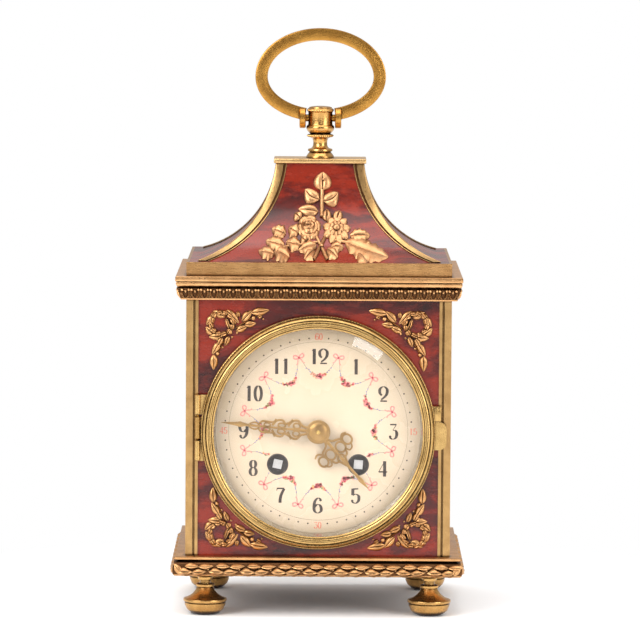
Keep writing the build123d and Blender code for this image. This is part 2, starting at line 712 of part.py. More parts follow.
def bezel_ring():
    face = BEZEL_FACE
    seat = BEZEL_SIGHT + GLASS_LAP
    points = [
        (BEZEL_SIGHT, face + 0.9), (BEZEL_SIGHT + 0.8, face + 0.3), (BEZEL_SIGHT + 2.2, face),
        (BEZEL_SIGHT + 2.9, face + 0.5), (BEZEL_SIGHT + 4.0, face + 0.7),
        (BEZEL_RADIUS - 1.0, face + 1.6), (BEZEL_RADIUS - 0.9, face + 2.4), (BEZEL_RADIUS, face + 2.8),
        (BEZEL_RADIUS, BEZEL_BACK), (seat, BEZEL_BACK), (seat, face + GLASS_SEAT),
        (BEZEL_SIGHT, face + GLASS_SEAT),
    ]
    ring = turned_y(points, 0, DIAL_HEIGHT)
    low, one, two, high = hinge_levels()
    ring -= rod_z(HINGE_BARREL + HINGE_ROOM, one - 0.1, two + 0.1, HINGE_X, HINGE_Y)
    for z0, z1 in ((low, one - HINGE_GAP), (two + HINGE_GAP, high)):
        link = box(HINGE_X, HINGE_X + 5.5, HINGE_Y - LEAF_HALF, HINGE_Y + LEAF_HALF, z0, z1)
        link -= rod_y(BEZEL_SIGHT + 3.0, HINGE_Y - 2, HINGE_Y + 2, 0, DIAL_HEIGHT)
        ring += link + rod_z(HINGE_BARREL, z0, z1, HINGE_X, HINGE_Y)
        ring -= rod_z(HINGE_PIN + RUN_CLEARANCE, z0 - 1, z1 + 1, HINGE_X, HINGE_Y)
    inner = BEZEL_RADIUS - TAB_ROOT
    root = box(
        inner, BEZEL_RADIUS + TAB_BLOCK_REACH, BEZEL_BACK - TAB_THICK, BEZEL_BACK,
        DIAL_HEIGHT + TAB_BLOCK_LOW, DIAL_HEIGHT + TAB_BLOCK_HIGH,
    )
    tab = box(
        inner, BEZEL_RADIUS + TAB_REACH, BEZEL_BACK - TAB_THICK, BEZEL_BACK - TAB_LIFT,
        DIAL_HEIGHT - TAB_DROP, DIAL_HEIGHT - TAB_DROP + TAB_LENGTH,
    )
    tab = fillet(tab.edges().filter_by(Axis.Y).group_by(Axis.X)[-1], TAB_CORNER)
    return ring + root + tab


def bezel_glass():
    front = BEZEL_FACE + GLASS_SEAT
    edge = BEZEL_SIGHT + GLASS_LAP - SEAT_GAP
    back = front + GLASS_THICK - GLASS_PROUD
    points = [
        (0, front - GLASS_PROUD), (BEZEL_SIGHT - GLASS_BEVEL, front - GLASS_PROUD),
        (BEZEL_SIGHT - 0.3, front), (edge, front), (edge, back), (0, back),
    ]
    return turned_y(points, 0, DIAL_HEIGHT)


def bezel_hinge_pin():
    low, one, two, high = hinge_levels()
    return rod_z(HINGE_PIN, low + 0.1, high - 0.1, HINGE_X, HINGE_Y)


def dial_surround():
    outer = CASE_HOLE - SEAT_GAP
    points = [
        (SURROUND_FLANGE, FLANGE_FACE), (SURROUND_FLANGE, FRONT_SKIN), (outer, FRONT_SKIN),
        (outer, TUBE_END), (TUBE_BORE, TUBE_END), (TUBE_BORE, DIAL_FACE), (SURROUND_LIP, DIAL_FACE),
        (SURROUND_LIP, DIAL_FACE - 0.5), (SURROUND_LIP + 1.9, FLANGE_FACE),
    ]
    ring = turned_y(points, 0, DIAL_HEIGHT)
    low, one, two, high = hinge_levels()
    z0 = one + HINGE_GAP
    z1 = two - HINGE_GAP
    inner = -SURROUND_FLANGE + 2
    over_post = box(HINGE_X - HINGE_BARREL, inner, -HALF_D - SURROUND_LEAF, -HALF_D, z0, z1)
    beside_post = box(HINGE_X + 0.2, inner, -HALF_D - SURROUND_LEAF, FRONT_SKIN, z0, z1)
    beside_post &= rod_y(HALF_W - POST_LEG, -HALF_D - 2, HALF_D, 0, DIAL_HEIGHT)
    neck = box(HINGE_X - 0.6, HINGE_X + 0.6, HINGE_Y, -HALF_D - SURROUND_LEAF / 2, z0, z1)
    hinge = over_post + beside_post + neck + rod_z(HINGE_BARREL, z0, z1, HINGE_X, HINGE_Y)
    hinge -= rod_z(HINGE_PIN + RUN_CLEARANCE, low, high, HINGE_X, HINGE_Y)
    return ring + hinge


# Dial and hands


def winding_places():
    z = DIAL_HEIGHT - WINDING_DROP
    return {"strike": (-WINDING_SPREAD, z), "going": (WINDING_SPREAD, z)}


def dial():
    plate = rod_y(TUBE_BORE - SEAT_GAP, DIAL_FACE, DIAL_BACK, 0, DIAL_HEIGHT)
    plate -= rod_y(DIAL_CENTRE_HOLE, DIAL_FACE - 1, DIAL_BACK + 1, 0, DIAL_HEIGHT)
    for x, z in winding_places().values():
        plate -= rod_y(WINDING_HOLE, DIAL_FACE - 1, DIAL_BACK + 1, x, z)
    return plate


def around(radius, angles):
    # Places on a circle round the dial's centre
    places = []
    for angle in angles:
        turn = math.radians(angle)
        places.append((radius * math.cos(turn), DIAL_HEIGHT + radius * math.sin(turn)))
    return places


def dial_plate():
    plate = rod_y(TUBE_BORE - SEAT_GAP, DIAL_BACK, DIAL_PLATE_BACK, 0, DIAL_HEIGHT)
    plate -= rod_y(DIAL_CENTRE_HOLE, DIAL_BACK - 1, DIAL_PLATE_BACK + 1, 0, DIAL_HEIGHT)
    for x, z in winding_places().values():
        plate -= rod_y(WINDING_HOLE, DIAL_BACK - 1, DIAL_PLATE_BACK + 1, x, z)
    for x, z in around(PLATE_RADIUS - DIAL_FOOT_INSET, DIAL_FOOT_ANGLES):
        plate += rod_y(DIAL_FOOT_RADIUS, DIAL_PLATE_BACK - 0.5, FRONT_PLATE_FACE, x, z)
    return plate


def hand(length, hub, loops, face, bore, angle):
    # A flat pierced hand: hub, loops and a tapering point, turned to its place on the dial
    body = Circle(hub)
    for reach, width in loops:
        body += Pos(0, reach) * Ellipse(width, width * 1.25)
    root = HAND_ROOT / 2
    tip = HAND_TIP / 2
    shoulder = length - 0.6
    blade = [(-root, 0), (-tip, shoulder), (0, length), (tip, shoulder), (root, 0)]
    body += make_face(Polyline(blade, close=True))
    for reach, width in loops:
        if width > SMALLEST_PIERCED:
            for side in (-1, 1):
                body -= Pos(side * width * 0.52, reach) * Ellipse(width * 0.24, width * 0.8)
    body -= Circle(bore)
    flat = Pos(0, face, DIAL_HEIGHT) * Rot(90, 0, 0) * (Rot(0, 0, -angle) * body)
    return extrude(flat, amount=HAND_THICK, dir=(0, 1, 0))


def hour_hand():
    back = HOUR_HAND_FACE + HAND_THICK
    blade = hand(HOUR_LENGTH, HOUR_HUB, HOUR_LOOPS, HOUR_HAND_FACE, HOUR_PIPE, HOUR_ANGLE)
    collar = rod_y(HOUR_COLLAR, back, back + HOUR_COLLAR_LENGTH, 0, DIAL_HEIGHT)
    collar -= rod_y(HOUR_PIPE, HOUR_HAND_FACE, back + 2, 0, DIAL_HEIGHT)
    return blade + collar


def minute_hand():
    face = MINUTE_HAND_FACE
    blade = hand(MINUTE_LENGTH, HUB_RADIUS, MINUTE_LOOPS, face, CANNON_PIPE, MINUTE_ANGLE)
    points = [(CANNON_PIPE, face), (CANNON_PIPE, face - BOSS_RISE), (2.6, face - 0.7), (4.2, face)]
    return blade + turned_y(points, 0, DIAL_HEIGHT)


# Wheels


def toothed(teeth, module, y0, y1, x, z, phase_deg, bore=0.0):
    # Straight-sided teeth, slim enough to run free at any phase
    pitch = teeth * module / 2
    step = 2 * math.pi / teeth
    tip = pitch + TOOTH_TIP * module
    root = pitch - TOOTH_ROOT * module
    shape = ((root, -0.27), (tip, -0.09), (tip, 0.09), (root, 0.27))
    points = []
    for i in range(teeth):
        for radius, share in shape:
            angle = math.radians(phase_deg) + step * (i + share)
            points.append((x + radius * math.cos(angle), z + radius * math.sin(angle)))
    disc = plate_y(points, y0, y1)
    return disc - rod_y(bore, y0 - 1, y1 + 1, x, z) if bore else disc


def toward(a, b):
    return math.degrees(math.atan2(b[1] - a[1], b[0] - a[0]))


def mate_phase(driver, driven, leaves):
    # Gap of the driven pinion faces the driver's tooth
    return toward(driven, driver) + 180.0 / leaves


def polar(centre, distance, angle):
    a = math.radians(angle)
    return centre[0] + distance * math.cos(a), centre[1] + distance * math.sin(a)


def meeting(a, ra, b, rb, side):
    # The point at distance ra from a and rb from b
    d = math.hypot(b[0] - a[0], b[1] - a[1])
    along = (ra**2 - rb**2 + d**2) / (2 * d)
    off = side * math.sqrt(ra**2 - along**2)
    ux = (b[0] - a[0]) / d
    uz = (b[1] - a[1]) / d
    return a[0] + along * ux - off * uz, a[1] + along * uz + off * ux


CENTRE = (0.0, DIAL_HEIGHT)
GOING = winding_places()["going"]
STRIKE = winding_places()["strike"]
R_BARREL = (BARREL_TEETH + PINION_LEAVES) * BARREL_MODULE / 2
R_INTER = (INTERMEDIATE_TEETH + PINION_LEAVES) * INTERMEDIATE_MODULE / 2
R_THIRD = (CENTRE_TEETH + SMALL_LEAVES) * CENTRE_MODULE / 2
R_CONTRATE = (THIRD_TEETH + SMALL_LEAVES) * THIRD_MODULE / 2
R_PIN = (STRIKE_TEETH + SMALL_LEAVES) * STRIKE_MODULE / 2
R_FLY = (PIN_WHEEL_TEETH + FLY_LEAVES) * PIN_WHEEL_MODULE / 2 + FLY_BACKLASH
R_MOTION = (CANNON_LEAVES + MINUTE_TEETH) * MOTION_MODULE_A / 2
MOTION_MODULE_B = 2 * R_MOTION / (MOTION_LEAVES + HOUR_TEETH)
INTER = meeting(CENTRE, R_INTER, GOING, R_BARREL, 1)
SECOND = (-INTER[0], INTER[1])
THIRD = polar(CENTRE, R_THIRD, THIRD_ANGLE)
CONTRATE = polar(THIRD, R_CONTRATE, CONTRATE_ANGLE)
PINW = polar(SECOND, R_PIN, PIN_WHEEL_ANGLE)
FLY = polar(PINW, R_FLY, FLY_ANGLE)
MINUTEW = polar(CENTRE, R_MOTION, 90.0)

Y_FRONT = FRONT_PLATE_BACK
Y_BACK = BACK_PLATE_FACE
GREAT_Y = (Y_BACK - GREAT_WHEEL_FROM_BACK - GREAT_WHEEL_THICK, Y_BACK - GREAT_WHEEL_FROM_BACK)
DRUM_Y = (GREAT_Y[0] - BARREL_LENGTH, GREAT_Y[0])
INTER_Y = (Y_FRONT + INTERMEDIATE_AT, Y_FRONT + INTERMEDIATE_AT + WHEEL_THICK)
CENTRE_Y = (Y_FRONT + CENTRE_WHEEL_AT, Y_FRONT + CENTRE_WHEEL_AT + WHEEL_THICK)
THIRD_Y = (Y_FRONT + THIRD_AT, Y_FRONT + THIRD_AT + WHEEL_THICK)
CONTRATE_Y = (Y_FRONT + CONTRATE_AT, Y_FRONT + CONTRATE_AT + WHEEL_THICK)
PINW_Y = (Y_FRONT + PIN_WHEEL_AT, Y_FRONT + PIN_WHEEL_AT + WHEEL_THICK)
MOTION_Y = (FRONT_PLATE_FACE - 1.6, FRONT_PLATE_FACE - 0.7)
HOUR_Y = (FRONT_PLATE_FACE - 3.9, FRONT_PLATE_FACE - 2.9)
HAMMER_PIVOT = (-HAMMER_LEFT, DIAL_HEIGHT + HAMMER_RISE)
PLATFORM_Z = DIAL_HEIGHT + PLATE_FLAT
BALANCE_Z = PLATFORM_Z + BALANCE_RISE
BALANCE_Y = (FRONT_PLATE_BACK + BACK_PLATE_FACE) / 2 + BALANCE_BACK
BELL_Z = DIAL_HEIGHT - BELL_DROP
BELL_MOUTH = BACK_PLATE_BACK + BELL_FROM_PLATE
BELL_APEX = BELL_MOUTH + BELL_DEPTH


def arbor_between_plates(at, radius=ARBOR):
    x, z = at
    body = rod_y(radius, Y_FRONT + END_SHAKE, Y_BACK - END_SHAKE, x, z)
    return body + rod_y(PIVOT, FRONT_PLATE_FACE + PIVOT_SHORT, BACK_PLATE_BACK - PIVOT_SHORT, x, z)


def leaves_on(at, leaves, module, mesh_y, phase):
    return toothed(leaves, module, mesh_y[0] - 0.5, mesh_y[1] + 0.5, at[0], at[1], phase)


def barrel(at, phase):
    x, z = at
    great = toothed(BARREL_TEETH, BARREL_MODULE, GREAT_Y[0], GREAT_Y[1], x, z, phase)
    drum = rod_y(BARREL_DRUM, DRUM_Y[0], DRUM_Y[1], x, z)
    drum -= rod_y(BARREL_DRUM - BARREL_WALL, DRUM_Y[0] + BARREL_WALL, DRUM_Y[1] - 0.01, x, z)
    bore = rod_y(WINDING_ARBOR + RUN_CLEARANCE, DRUM_Y[0] - 1, GREAT_Y[1] + 1, x, z)
    return drum + great - bore


def winding_arbor(at, turn):
    x, z = at
    ratchet_back = FRONT_PLATE_FACE - RATCHET_CLEAR
    body = rod_y(WINDING_ARBOR, ratchet_back - 0.1, BACK_PLATE_BACK, x, z)
    half = WINDING_SQUARE / 2
    square = box(-half, half, DIAL_FACE + SQUARE_SUNK, ratchet_back, -half, half)
    square = Pos(x, 0, z) * Rot(0, turn, 0) * square
    hook = rod_y(ARBOR_CORE, DRUM_Y[0] + ARBOR_CORE_INSET, DRUM_Y[1] - ARBOR_CORE_INSET, x, z)
    ratchet_front = ratchet_back - RATCHET_THICK
    ratchet = toothed(RATCHET_TEETH, RATCHET_MODULE, ratchet_front, ratchet_back, x, z, 0)
    return body + square + hook + ratchet


def centre_wheel():
    x, z = CENTRE
    shaft = rod_y(CENTRE_ARBOR, MINUTE_HAND_FACE - BOSS_RISE - 0.7, Y_FRONT + 0.3, x, z)
    shaft += rod_y(ARBOR, Y_FRONT + END_SHAKE, Y_BACK - END_SHAKE, x, z)
    shaft += rod_y(PIVOT, Y_BACK - 0.3, BACK_PLATE_BACK - PIVOT_SHORT, x, z)
    wheel = toothed(CENTRE_TEETH, CENTRE_MODULE, CENTRE_Y[0], CENTRE_Y[1], x, z, toward(CENTRE, THIRD))
    phase = mate_phase(INTER, CENTRE, PINION_LEAVES)
    return shaft + wheel + leaves_on(CENTRE, PINION_LEAVES, INTERMEDIATE_MODULE, INTER_Y, phase)


def cannon_pinion():
    x, z = CENTRE
    low = FRONT_PLATE_FACE - 0.3
    leaves = toothed(CANNON_LEAVES, MOTION_MODULE_A, low - 1.6, low, x, z, toward(CENTRE, MINUTEW))
    pipe = rod_y(CANNON_PIPE, MINUTE_HAND_FACE - BOSS_RISE, low - 1.5, x, z)
    return leaves + pipe - rod_y(CENTRE_ARBOR, MINUTE_HAND_FACE - 2, low + 1, x, z)


def minute_wheel():
    x, z = MINUTEW
    phase = mate_phase(CENTRE, MINUTEW, MINUTE_TEETH)
    wheel = toothed(MINUTE_TEETH, MOTION_MODULE_A, MOTION_Y[0], MOTION_Y[1], x, z, phase)
    leaf_front = HOUR_Y[0] - 0.3
    phase = toward(MINUTEW, CENTRE)
    pinion = toothed(MOTION_LEAVES, MOTION_MODULE_B, leaf_front, MOTION_Y[0], x, z, phase)
    return wheel + pinion - rod_y(STUD + RUN_CLEARANCE, HOUR_Y[0] - 2, MOTION_Y[1] + 1, x, z)


def hour_wheel():
    x, z = CENTRE
    phase = mate_phase(MINUTEW, CENTRE, HOUR_TEETH)
    wheel = toothed(HOUR_TEETH, MOTION_MODULE_B, HOUR_Y[0], HOUR_Y[1], x, z, phase)
    pipe = rod_y(HOUR_PIPE, HOUR_HAND_FACE, HOUR_Y[1], x, z)
    return wheel + pipe - rod_y(CANNON_PIPE + RUN_CLEARANCE, HOUR_HAND_FACE - 1, HOUR_Y[1] + 1, x, z)


def intermediate_wheel():
    phase = mate_phase(GOING, INTER, PINION_LEAVES)
    pinion = leaves_on(INTER, PINION_LEAVES, BARREL_MODULE, GREAT_Y, phase)
    phase = toward(INTER, CENTRE)
    wheel = toothed(INTERMEDIATE_TEETH, INTERMEDIATE_MODULE, INTER_Y[0], INTER_Y[1], *INTER, phase)
    return arbor_between_plates(INTER) + pinion + wheel


def third_wheel():
    phase = mate_phase(CENTRE, THIRD, SMALL_LEAVES)
    pinion = leaves_on(THIRD, SMALL_LEAVES, CENTRE_MODULE, CENTRE_Y, phase)
    phase = toward(THIRD, CONTRATE)
    wheel = toothed(THIRD_TEETH, THIRD_MODULE, THIRD_Y[0], THIRD_Y[1], *THIRD, phase)
    return arbor_between_plates(THIRD, SLIM_ARBOR) + pinion + wheel


def contrate_wheel():
    x, z = CONTRATE
    phase = mate_phase(THIRD, CONTRATE, SMALL_LEAVES)
    pinion = leaves_on(CONTRATE, SMALL_LEAVES, THIRD_MODULE, THIRD_Y, phase)
    disc = rod_y(CONTRATE_RADIUS, CONTRATE_Y[0], CONTRATE_Y[1], x, z)
    crown = rod_y(CONTRATE_RADIUS, CONTRATE_Y[1], CONTRATE_Y[1] + CROWN_DEPTH, x, z)
    crown -= rod_y(CONTRATE_RADIUS - CROWN_WALL, CONTRATE_Y[1] - 1, CONTRATE_Y[1] + 3, x, z)
    notch = box(-0.22, 0.22, CONTRATE_Y[1] + 0.5, CONTRATE_Y[1] + 2, 0, CONTRATE_RADIUS + 1)
    for i in range(CROWN_TEETH):
        crown -= Pos(x, 0, z) * Rot(0, i * 360 / CROWN_TEETH, 0) * notch
    return arbor_between_plates(CONTRATE, SLIM_ARBOR) + pinion + disc + crown


def second_wheel():
    phase = mate_phase(STRIKE, SECOND, PINION_LEAVES)
    pinion = leaves_on(SECOND, PINION_LEAVES, BARREL_MODULE, GREAT_Y, phase)
    phase = toward(SECOND, PINW)
    wheel = toothed(STRIKE_TEETH, STRIKE_MODULE, INTER_Y[0], INTER_Y[1], *SECOND, phase)
    return arbor_between_plates(SECOND) + pinion + wheel


def pin_wheel():
    phase = mate_phase(SECOND, PINW, SMALL_LEAVES)
    pinion = leaves_on(PINW, SMALL_LEAVES, STRIKE_MODULE, INTER_Y, phase)
    phase = toward(PINW, FLY)
    wheel = toothed(PIN_WHEEL_TEETH, PIN_WHEEL_MODULE, PINW_Y[0], PINW_Y[1], *PINW, phase)
    for i in range(LIFTING_PINS):
        px, pz = polar(PINW, LIFTING_CIRCLE, i * 360 / LIFTING_PINS)
        wheel += rod_y(LIFTING_PIN, PINW_Y[0] - LIFTING_LENGTH, PINW_Y[0] + 0.2, px, pz)
    return arbor_between_plates(PINW, SLIM_ARBOR) + pinion + wheel


def fly():
    x, z = FLY
    phase = mate_phase(PINW, FLY, FLY_LEAVES)
    pinion = leaves_on(FLY, FLY_LEAVES, PIN_WHEEL_MODULE, PINW_Y, phase)
    vane = box(
        x - VANE_REACH, x + VANE_REACH, Y_FRONT + VANE_START, Y_FRONT + VANE_START + VANE_LENGTH,
        z - VANE_THICK / 2, z + VANE_THICK / 2,
    )
    return arbor_between_plates(FLY, FLY_ARBOR) + pinion + vane


# Movement frame


def movement_plate(y0, y1, centre_bore):
    plate = rod_y(PLATE_RADIUS, y0, y1, 0, DIAL_HEIGHT)
    above = DIAL_HEIGHT + PLATE_RADIUS
    plate -= box(-PLATE_RADIUS, PLATE_RADIUS, y0 - 1, y1 + 1, DIAL_HEIGHT + PLATE_FLAT, above)
    for at in (INTER, SECOND, THIRD, CONTRATE, PINW, FLY):
        plate -= rod_y(PIVOT + RUN_CLEARANCE, y0 - 1, y1 + 1, *at)
    for at in (GOING, STRIKE):
        plate -= rod_y(WINDING_ARBOR + RUN_CLEARANCE, y0 - 1, y1 + 1, *at)
    return plate - rod_y(centre_bore + RUN_CLEARANCE, y0 - 1, y1 + 1, *CENTRE)


def front_plate():
    plate = movement_plate(FRONT_PLATE_FACE, FRONT_PLATE_BACK, CENTRE_ARBOR)
    return plate + rod_y(STUD, HOUR_Y[0] - 0.6, FRONT_PLATE_FACE + 0.1, *MINUTEW)


def back_plate():
    plate = movement_plate(BACK_PLATE_FACE, BACK_PLATE_BACK, PIVOT)
    bore = HAMMER_SPINDLE + RUN_CLEARANCE
    return plate - rod_y(bore, BACK_PLATE_FACE - 1, BACK_PLATE_BACK + 1, *HAMMER_PIVOT)


def pillars():
    posts = []
    for x, z in around(PLATE_RADIUS - PILLAR_INSET, PILLAR_ANGLES):
        posts.append(rod_y(PILLAR_RADIUS, FRONT_PLATE_BACK, BACK_PLATE_FACE, x, z))
    return Compound(children=posts)


def movement_straps():
    x = TUBE_BORE + STRAP_GAP
    bars = []
    for side in (-1, 1):
        ends = sorted((side * x, side * (x + STRAP_THICK)))
        low = DIAL_HEIGHT - STRAP_HALF_WIDTH
        high = DIAL_HEIGHT + STRAP_HALF_WIDTH
        bars.append(box(ends[0], ends[1], TUBE_END, REAR_TUBE_END - LUG_THICK, low, high))
    return Compound(children=bars)


def platform():
    z0 = PLATFORM_Z
    y = BALANCE_Y
    bore = BALANCE_STAFF + RUN_CLEARANCE
    plate = box(-PLATFORM_HALF, PLATFORM_HALF, FRONT_PLATE_FACE, BACK_PLATE_BACK, z0, z0 + PLATFORM_THICK)
    plate -= rod_z(bore, z0 - 1, z0 + 3, BALANCE_X, y)
    half = COCK_WIDTH / 2
    end = -PLATFORM_HALF + 2
    post = box(end, end + 4, y - half, y + half, z0 + PLATFORM_THICK, z0 + COCK_LEVEL + 0.5)
    cock = box(end, BALANCE_X + 2, y - half, y + half, z0 + COCK_LEVEL, z0 + COCK_LEVEL + COCK_THICK)
    cock -= rod_z(bore, z0 + COCK_LEVEL - 1, z0 + COCK_LEVEL + 3, BALANCE_X, y)
    spindle_y = CONTRATE_Y[1] + CROWN_DEPTH + 1.0
    spindle = rod_z(SLIM_ARBOR, CONTRATE[1] + CONTRATE_RADIUS - 1.6, z0 + 0.5, CONTRATE[0], spindle_y)
    return plate + post + cock + spindle


def balance():
    y = BALANCE_Y
    z = BALANCE_Z
    reach = BALANCE_RADIUS - 0.5
    staff = rod_z(BALANCE_STAFF, PLATFORM_Z + 0.3, PLATFORM_Z + COCK_LEVEL + COCK_THICK - 0.2, BALANCE_X, y)
    rim = rod_z(BALANCE_RADIUS, z, z + BALANCE_THICK, BALANCE_X, y)
    rim -= rod_z(BALANCE_RADIUS - BALANCE_RIM, z - 1, z + 2, BALANCE_X, y)
    arm = box(BALANCE_X - reach, BALANCE_X + reach, y - 0.6, y + 0.6, z, z + BALANCE_THICK - 0.1)
    spring = rod_z(HAIRSPRING, z + 1.3, z + 1.7, BALANCE_X, y)
    roller = rod_z(ROLLER, z - 1.4, z + 1.8, BALANCE_X, y)
    return staff + rim + arm + spring + roller


def bell():
    top = BELL_APEX
    curve = [(9, top - 0.3), (18, top - 2.0), (25, top - 6.0), (28.6, top - 11.5)]
    outer = [(0, top), (BELL_BOSS, top)] + curve
    inner = [(max(r - BELL_WALL, 0), y - BELL_WALL) for r, y in outer]
    outer.append((BELL_RADIUS, BELL_MOUTH))
    inner.append((BELL_RADIUS - BELL_WALL, BELL_MOUTH))
    cup = turned_y(outer + inner[::-1], 0, BELL_Z)
    return cup - rod_y(BELL_POST + RUN_CLEARANCE, top - 3, top + 1, 0, BELL_Z)


def bell_stand():
    inside = BELL_APEX - BELL_WALL
    post = rod_y(BELL_POST, BACK_PLATE_BACK, BELL_APEX + BELL_NUT_THICK + 0.8, 0, BELL_Z)
    foot_disc = rod_y(BELL_STAND_FOOT, BACK_PLATE_BACK, BACK_PLATE_BACK + 1.4, 0, BELL_Z)
    shoulder = rod_y(BELL_NUT, inside - 1.6, inside, 0, BELL_Z)
    nut = rod_y(BELL_NUT, BELL_APEX, BELL_APEX + BELL_NUT_THICK, 0, BELL_Z)
    return post + foot_disc + shoulder + nut


def hammer():
    px, pz = HAMMER_PIVOT
    head_x = -(BELL_RADIUS + HAMMER_REACH + HAMMER_HEAD)
    start = BACK_PLATE_BACK + 1.0
    spindle = rod_y(HAMMER_SPINDLE, BACK_PLATE_FACE, BACK_PLATE_BACK + 3.6, px, pz)
    hub = rod_y(HAMMER_HUB, BACK_PLATE_BACK + 0.5, BACK_PLATE_BACK + 3.2, px, pz)
    length = math.hypot(head_x - px, BELL_Z - pz)
    tilt = math.degrees(math.atan2(px - head_x, pz - BELL_Z))
    arm = box(-HAMMER_ARM / 2, HAMMER_ARM / 2, start, start + HAMMER_ARM, -length, 0)
    arm = Pos(px, 0, pz) * Rot(0, tilt, 0) * arm
    shank = rod_y(HAMMER_SPINDLE, start, BELL_MOUTH + 1.0, head_x, BELL_Z)
    head = rod_y(HAMMER_HEAD, BELL_MOUTH + 0.2, BELL_MOUTH + HAMMER_HEAD_LENGTH, head_x, BELL_Z)
    return spindle + hub + arm + shank + head


# Rear ring and door


def rear_ring():
    tube_out = REAR_HOLE - SEAT_GAP
    tube_in = tube_out - REAR_TUBE_WALL
    flange_back = REAR_FACE + SURROUND_FLANGE_THICK
    points = [
        (tube_in, flange_back), (REAR_FLANGE, flange_back), (REAR_FLANGE, REAR_FACE),
        (tube_out, REAR_FACE), (tube_out, REAR_TUBE_END), (tube_in, REAR_TUBE_END),
    ]
    ring = turned_y(points, 0, DIAL_HEIGHT)
    for side in (-1, 1):
        ends = sorted((side * (TUBE_BORE - LUG_LAP), side * (TUBE_BORE + STRAP_GAP + STRAP_THICK)))
        low = DIAL_HEIGHT - STRAP_HALF_WIDTH
        high = DIAL_HEIGHT + STRAP_HALF_WIDTH
        ring += box(ends[0], ends[1], REAR_TUBE_END - LUG_THICK, REAR_TUBE_END, low, high)
    third = REAR_HINGE_HALF / 3
    x = REAR_HINGE_X
    for z0, z1 in ((-REAR_HINGE_HALF, -third - 0.1), (third + 0.1, REAR_HINGE_HALF)):
        low = DIAL_HEIGHT + z0
        high = DIAL_HEIGHT + z1
        leaf = box(REAR_FLANGE - 1.5, x, REAR_FACE, flange_back, low, high)
        neck = box(x - LEAF_HALF, x + LEAF_HALF, REAR_FACE, REAR_HINGE_Y, low, high)
        ring += leaf + neck + rod_z(HINGE_BARREL, low, high, x, REAR_HINGE_Y)
    low = DIAL_HEIGHT - REAR_HINGE_HALF
    high = DIAL_HEIGHT + REAR_HINGE_HALF
    ring -= rod_z(HINGE_PIN, low - 1, high + 1, x, REAR_HINGE_Y)
    return ring + rod_z(HINGE_PIN, low, high, x, REAR_HINGE_Y)


def back_door():
    face = DOOR_FACE
    back = face + DOOR_THICK
    disc = rod_y(DOOR_RADIUS, face, back, 0, DIAL_HEIGHT)
    rim = rod_y(DOOR_RADIUS, back, back + DOOR_RIM_PROUD, 0, DIAL_HEIGHT)
    rim -= rod_y(DOOR_RADIUS - DOOR_RIM_WIDTH, face, back + 2, 0, DIAL_HEIGHT)
    half = REAR_HINGE_HALF / 3 - 0.1
    low = DIAL_HEIGHT - half
    high = DIAL_HEIGHT + half
    leaf_y = REAR_HINGE_Y
    link = box(DOOR_RADIUS - 2, REAR_HINGE_X, leaf_y - LEAF_HALF, leaf_y + LEAF_HALF, low, high)
    middle_barrel = rod_z(HINGE_BARREL, low, high, REAR_HINGE_X, leaf_y)
    stem = DOOR_KNOB * 2 / 3
    tip = back + 2.3
    points = [(0, face), (stem, face), (stem, tip - 1.4), (DOOR_KNOB, tip - 0.8), (stem, tip), (0, tip)]
    knob = turned_y(points, -DOOR_RADIUS + DOOR_KNOB_INSET, DIAL_HEIGHT)
    door = disc + rim + link + middle_barrel + knob
    return door - rod_z(HINGE_PIN + RUN_CLEARANCE, low - 1, high + 1, REAR_HINGE_X, leaf_y)


def all_nodes():
    nodes = {"base_moulding": base_moulding(), "base_board": base_board()}
    for name, (x, y) in foot_places().items():
        nodes[name] = foot(x, y)
    nodes["carcass"] = carcass()
    nodes.update(veneers())
    nodes["corner_posts"] = corner_posts()
    nodes["cornice_moulding"] = cornice_moulding()
    nodes["hood_fascia"] = hood_fascia()
    nodes["hood_core"] = hood_core()
    nodes.update(hood_parts())
    nodes["top_plate"] = top_plate()
    nodes["handle_pedestal"] = handle_pedestal()
    nodes["handle_head"] = handle_head()
    nodes["handle_pin"] = handle_pin()
    nodes["handle_bail"] = handle_bail()
    nodes["hood_bouquet"] = hood_bouquet()
    nodes["wreath_mounts"] = wreath_mounts()
    nodes["bezel_ring"] = bezel_ring()
    nodes["bezel_glass"] = bezel_glass()
    nodes["bezel_hinge_pin"] = bezel_hinge_pin()
    nodes["dial_surround"] = dial_surround()
    nodes["dial"] = dial()
    nodes["dial_plate"] = dial_plate()
    nodes["hour_hand"] = hour_hand()
    nodes["minute_hand"] = minute_hand()
    nodes["front_plate"] = front_plate()
    nodes["back_plate"] = back_plate()
    nodes["pillars"] = pillars()
    nodes["movement_straps"] = movement_straps()
    nodes["going_barrel"] = barrel(GOING, toward(GOING, INTER))
    nodes["strike_barrel"] = barrel(STRIKE, toward(STRIKE, SECOND))
    nodes["going_arbor"] = winding_arbor(GOING, GOING_SQUARE_TURN)
    nodes["strike_arbor"] = winding_arbor(STRIKE, STRIKE_SQUARE_TURN)
    nodes["centre_wheel"] = centre_wheel()
    nodes["cannon_pinion"] = cannon_pinion()
    nodes["minute_wheel"] = minute_wheel()
    nodes["hour_wheel"] = hour_wheel()
    nodes["intermediate_wheel"] = intermediate_wheel()
    nodes["third_wheel"] = third_wheel()
    nodes["contrate_wheel"] = contrate_wheel()
    nodes["escapement_platform"] = platform()
    nodes["balance"] = balance()
    nodes["strike_second_wheel"] = second_wheel()
    nodes["pin_wheel"] = pin_wheel()
    nodes["fly"] = fly()
    nodes["bell"] = bell()
    nodes["bell_stand"] = bell_stand()
    nodes["hammer"] = hammer()
    nodes["rear_ring"] = rear_ring()
    nodes["back_door"] = back_door()
    return nodes


os.makedirs("parts", exist_ok=True)
for name, shape in all_nodes().items():
    export_step(shape, f"parts/{name}.step")
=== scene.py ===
import math
import random

import bmesh
import bpy
from mathutils import Matrix, Vector


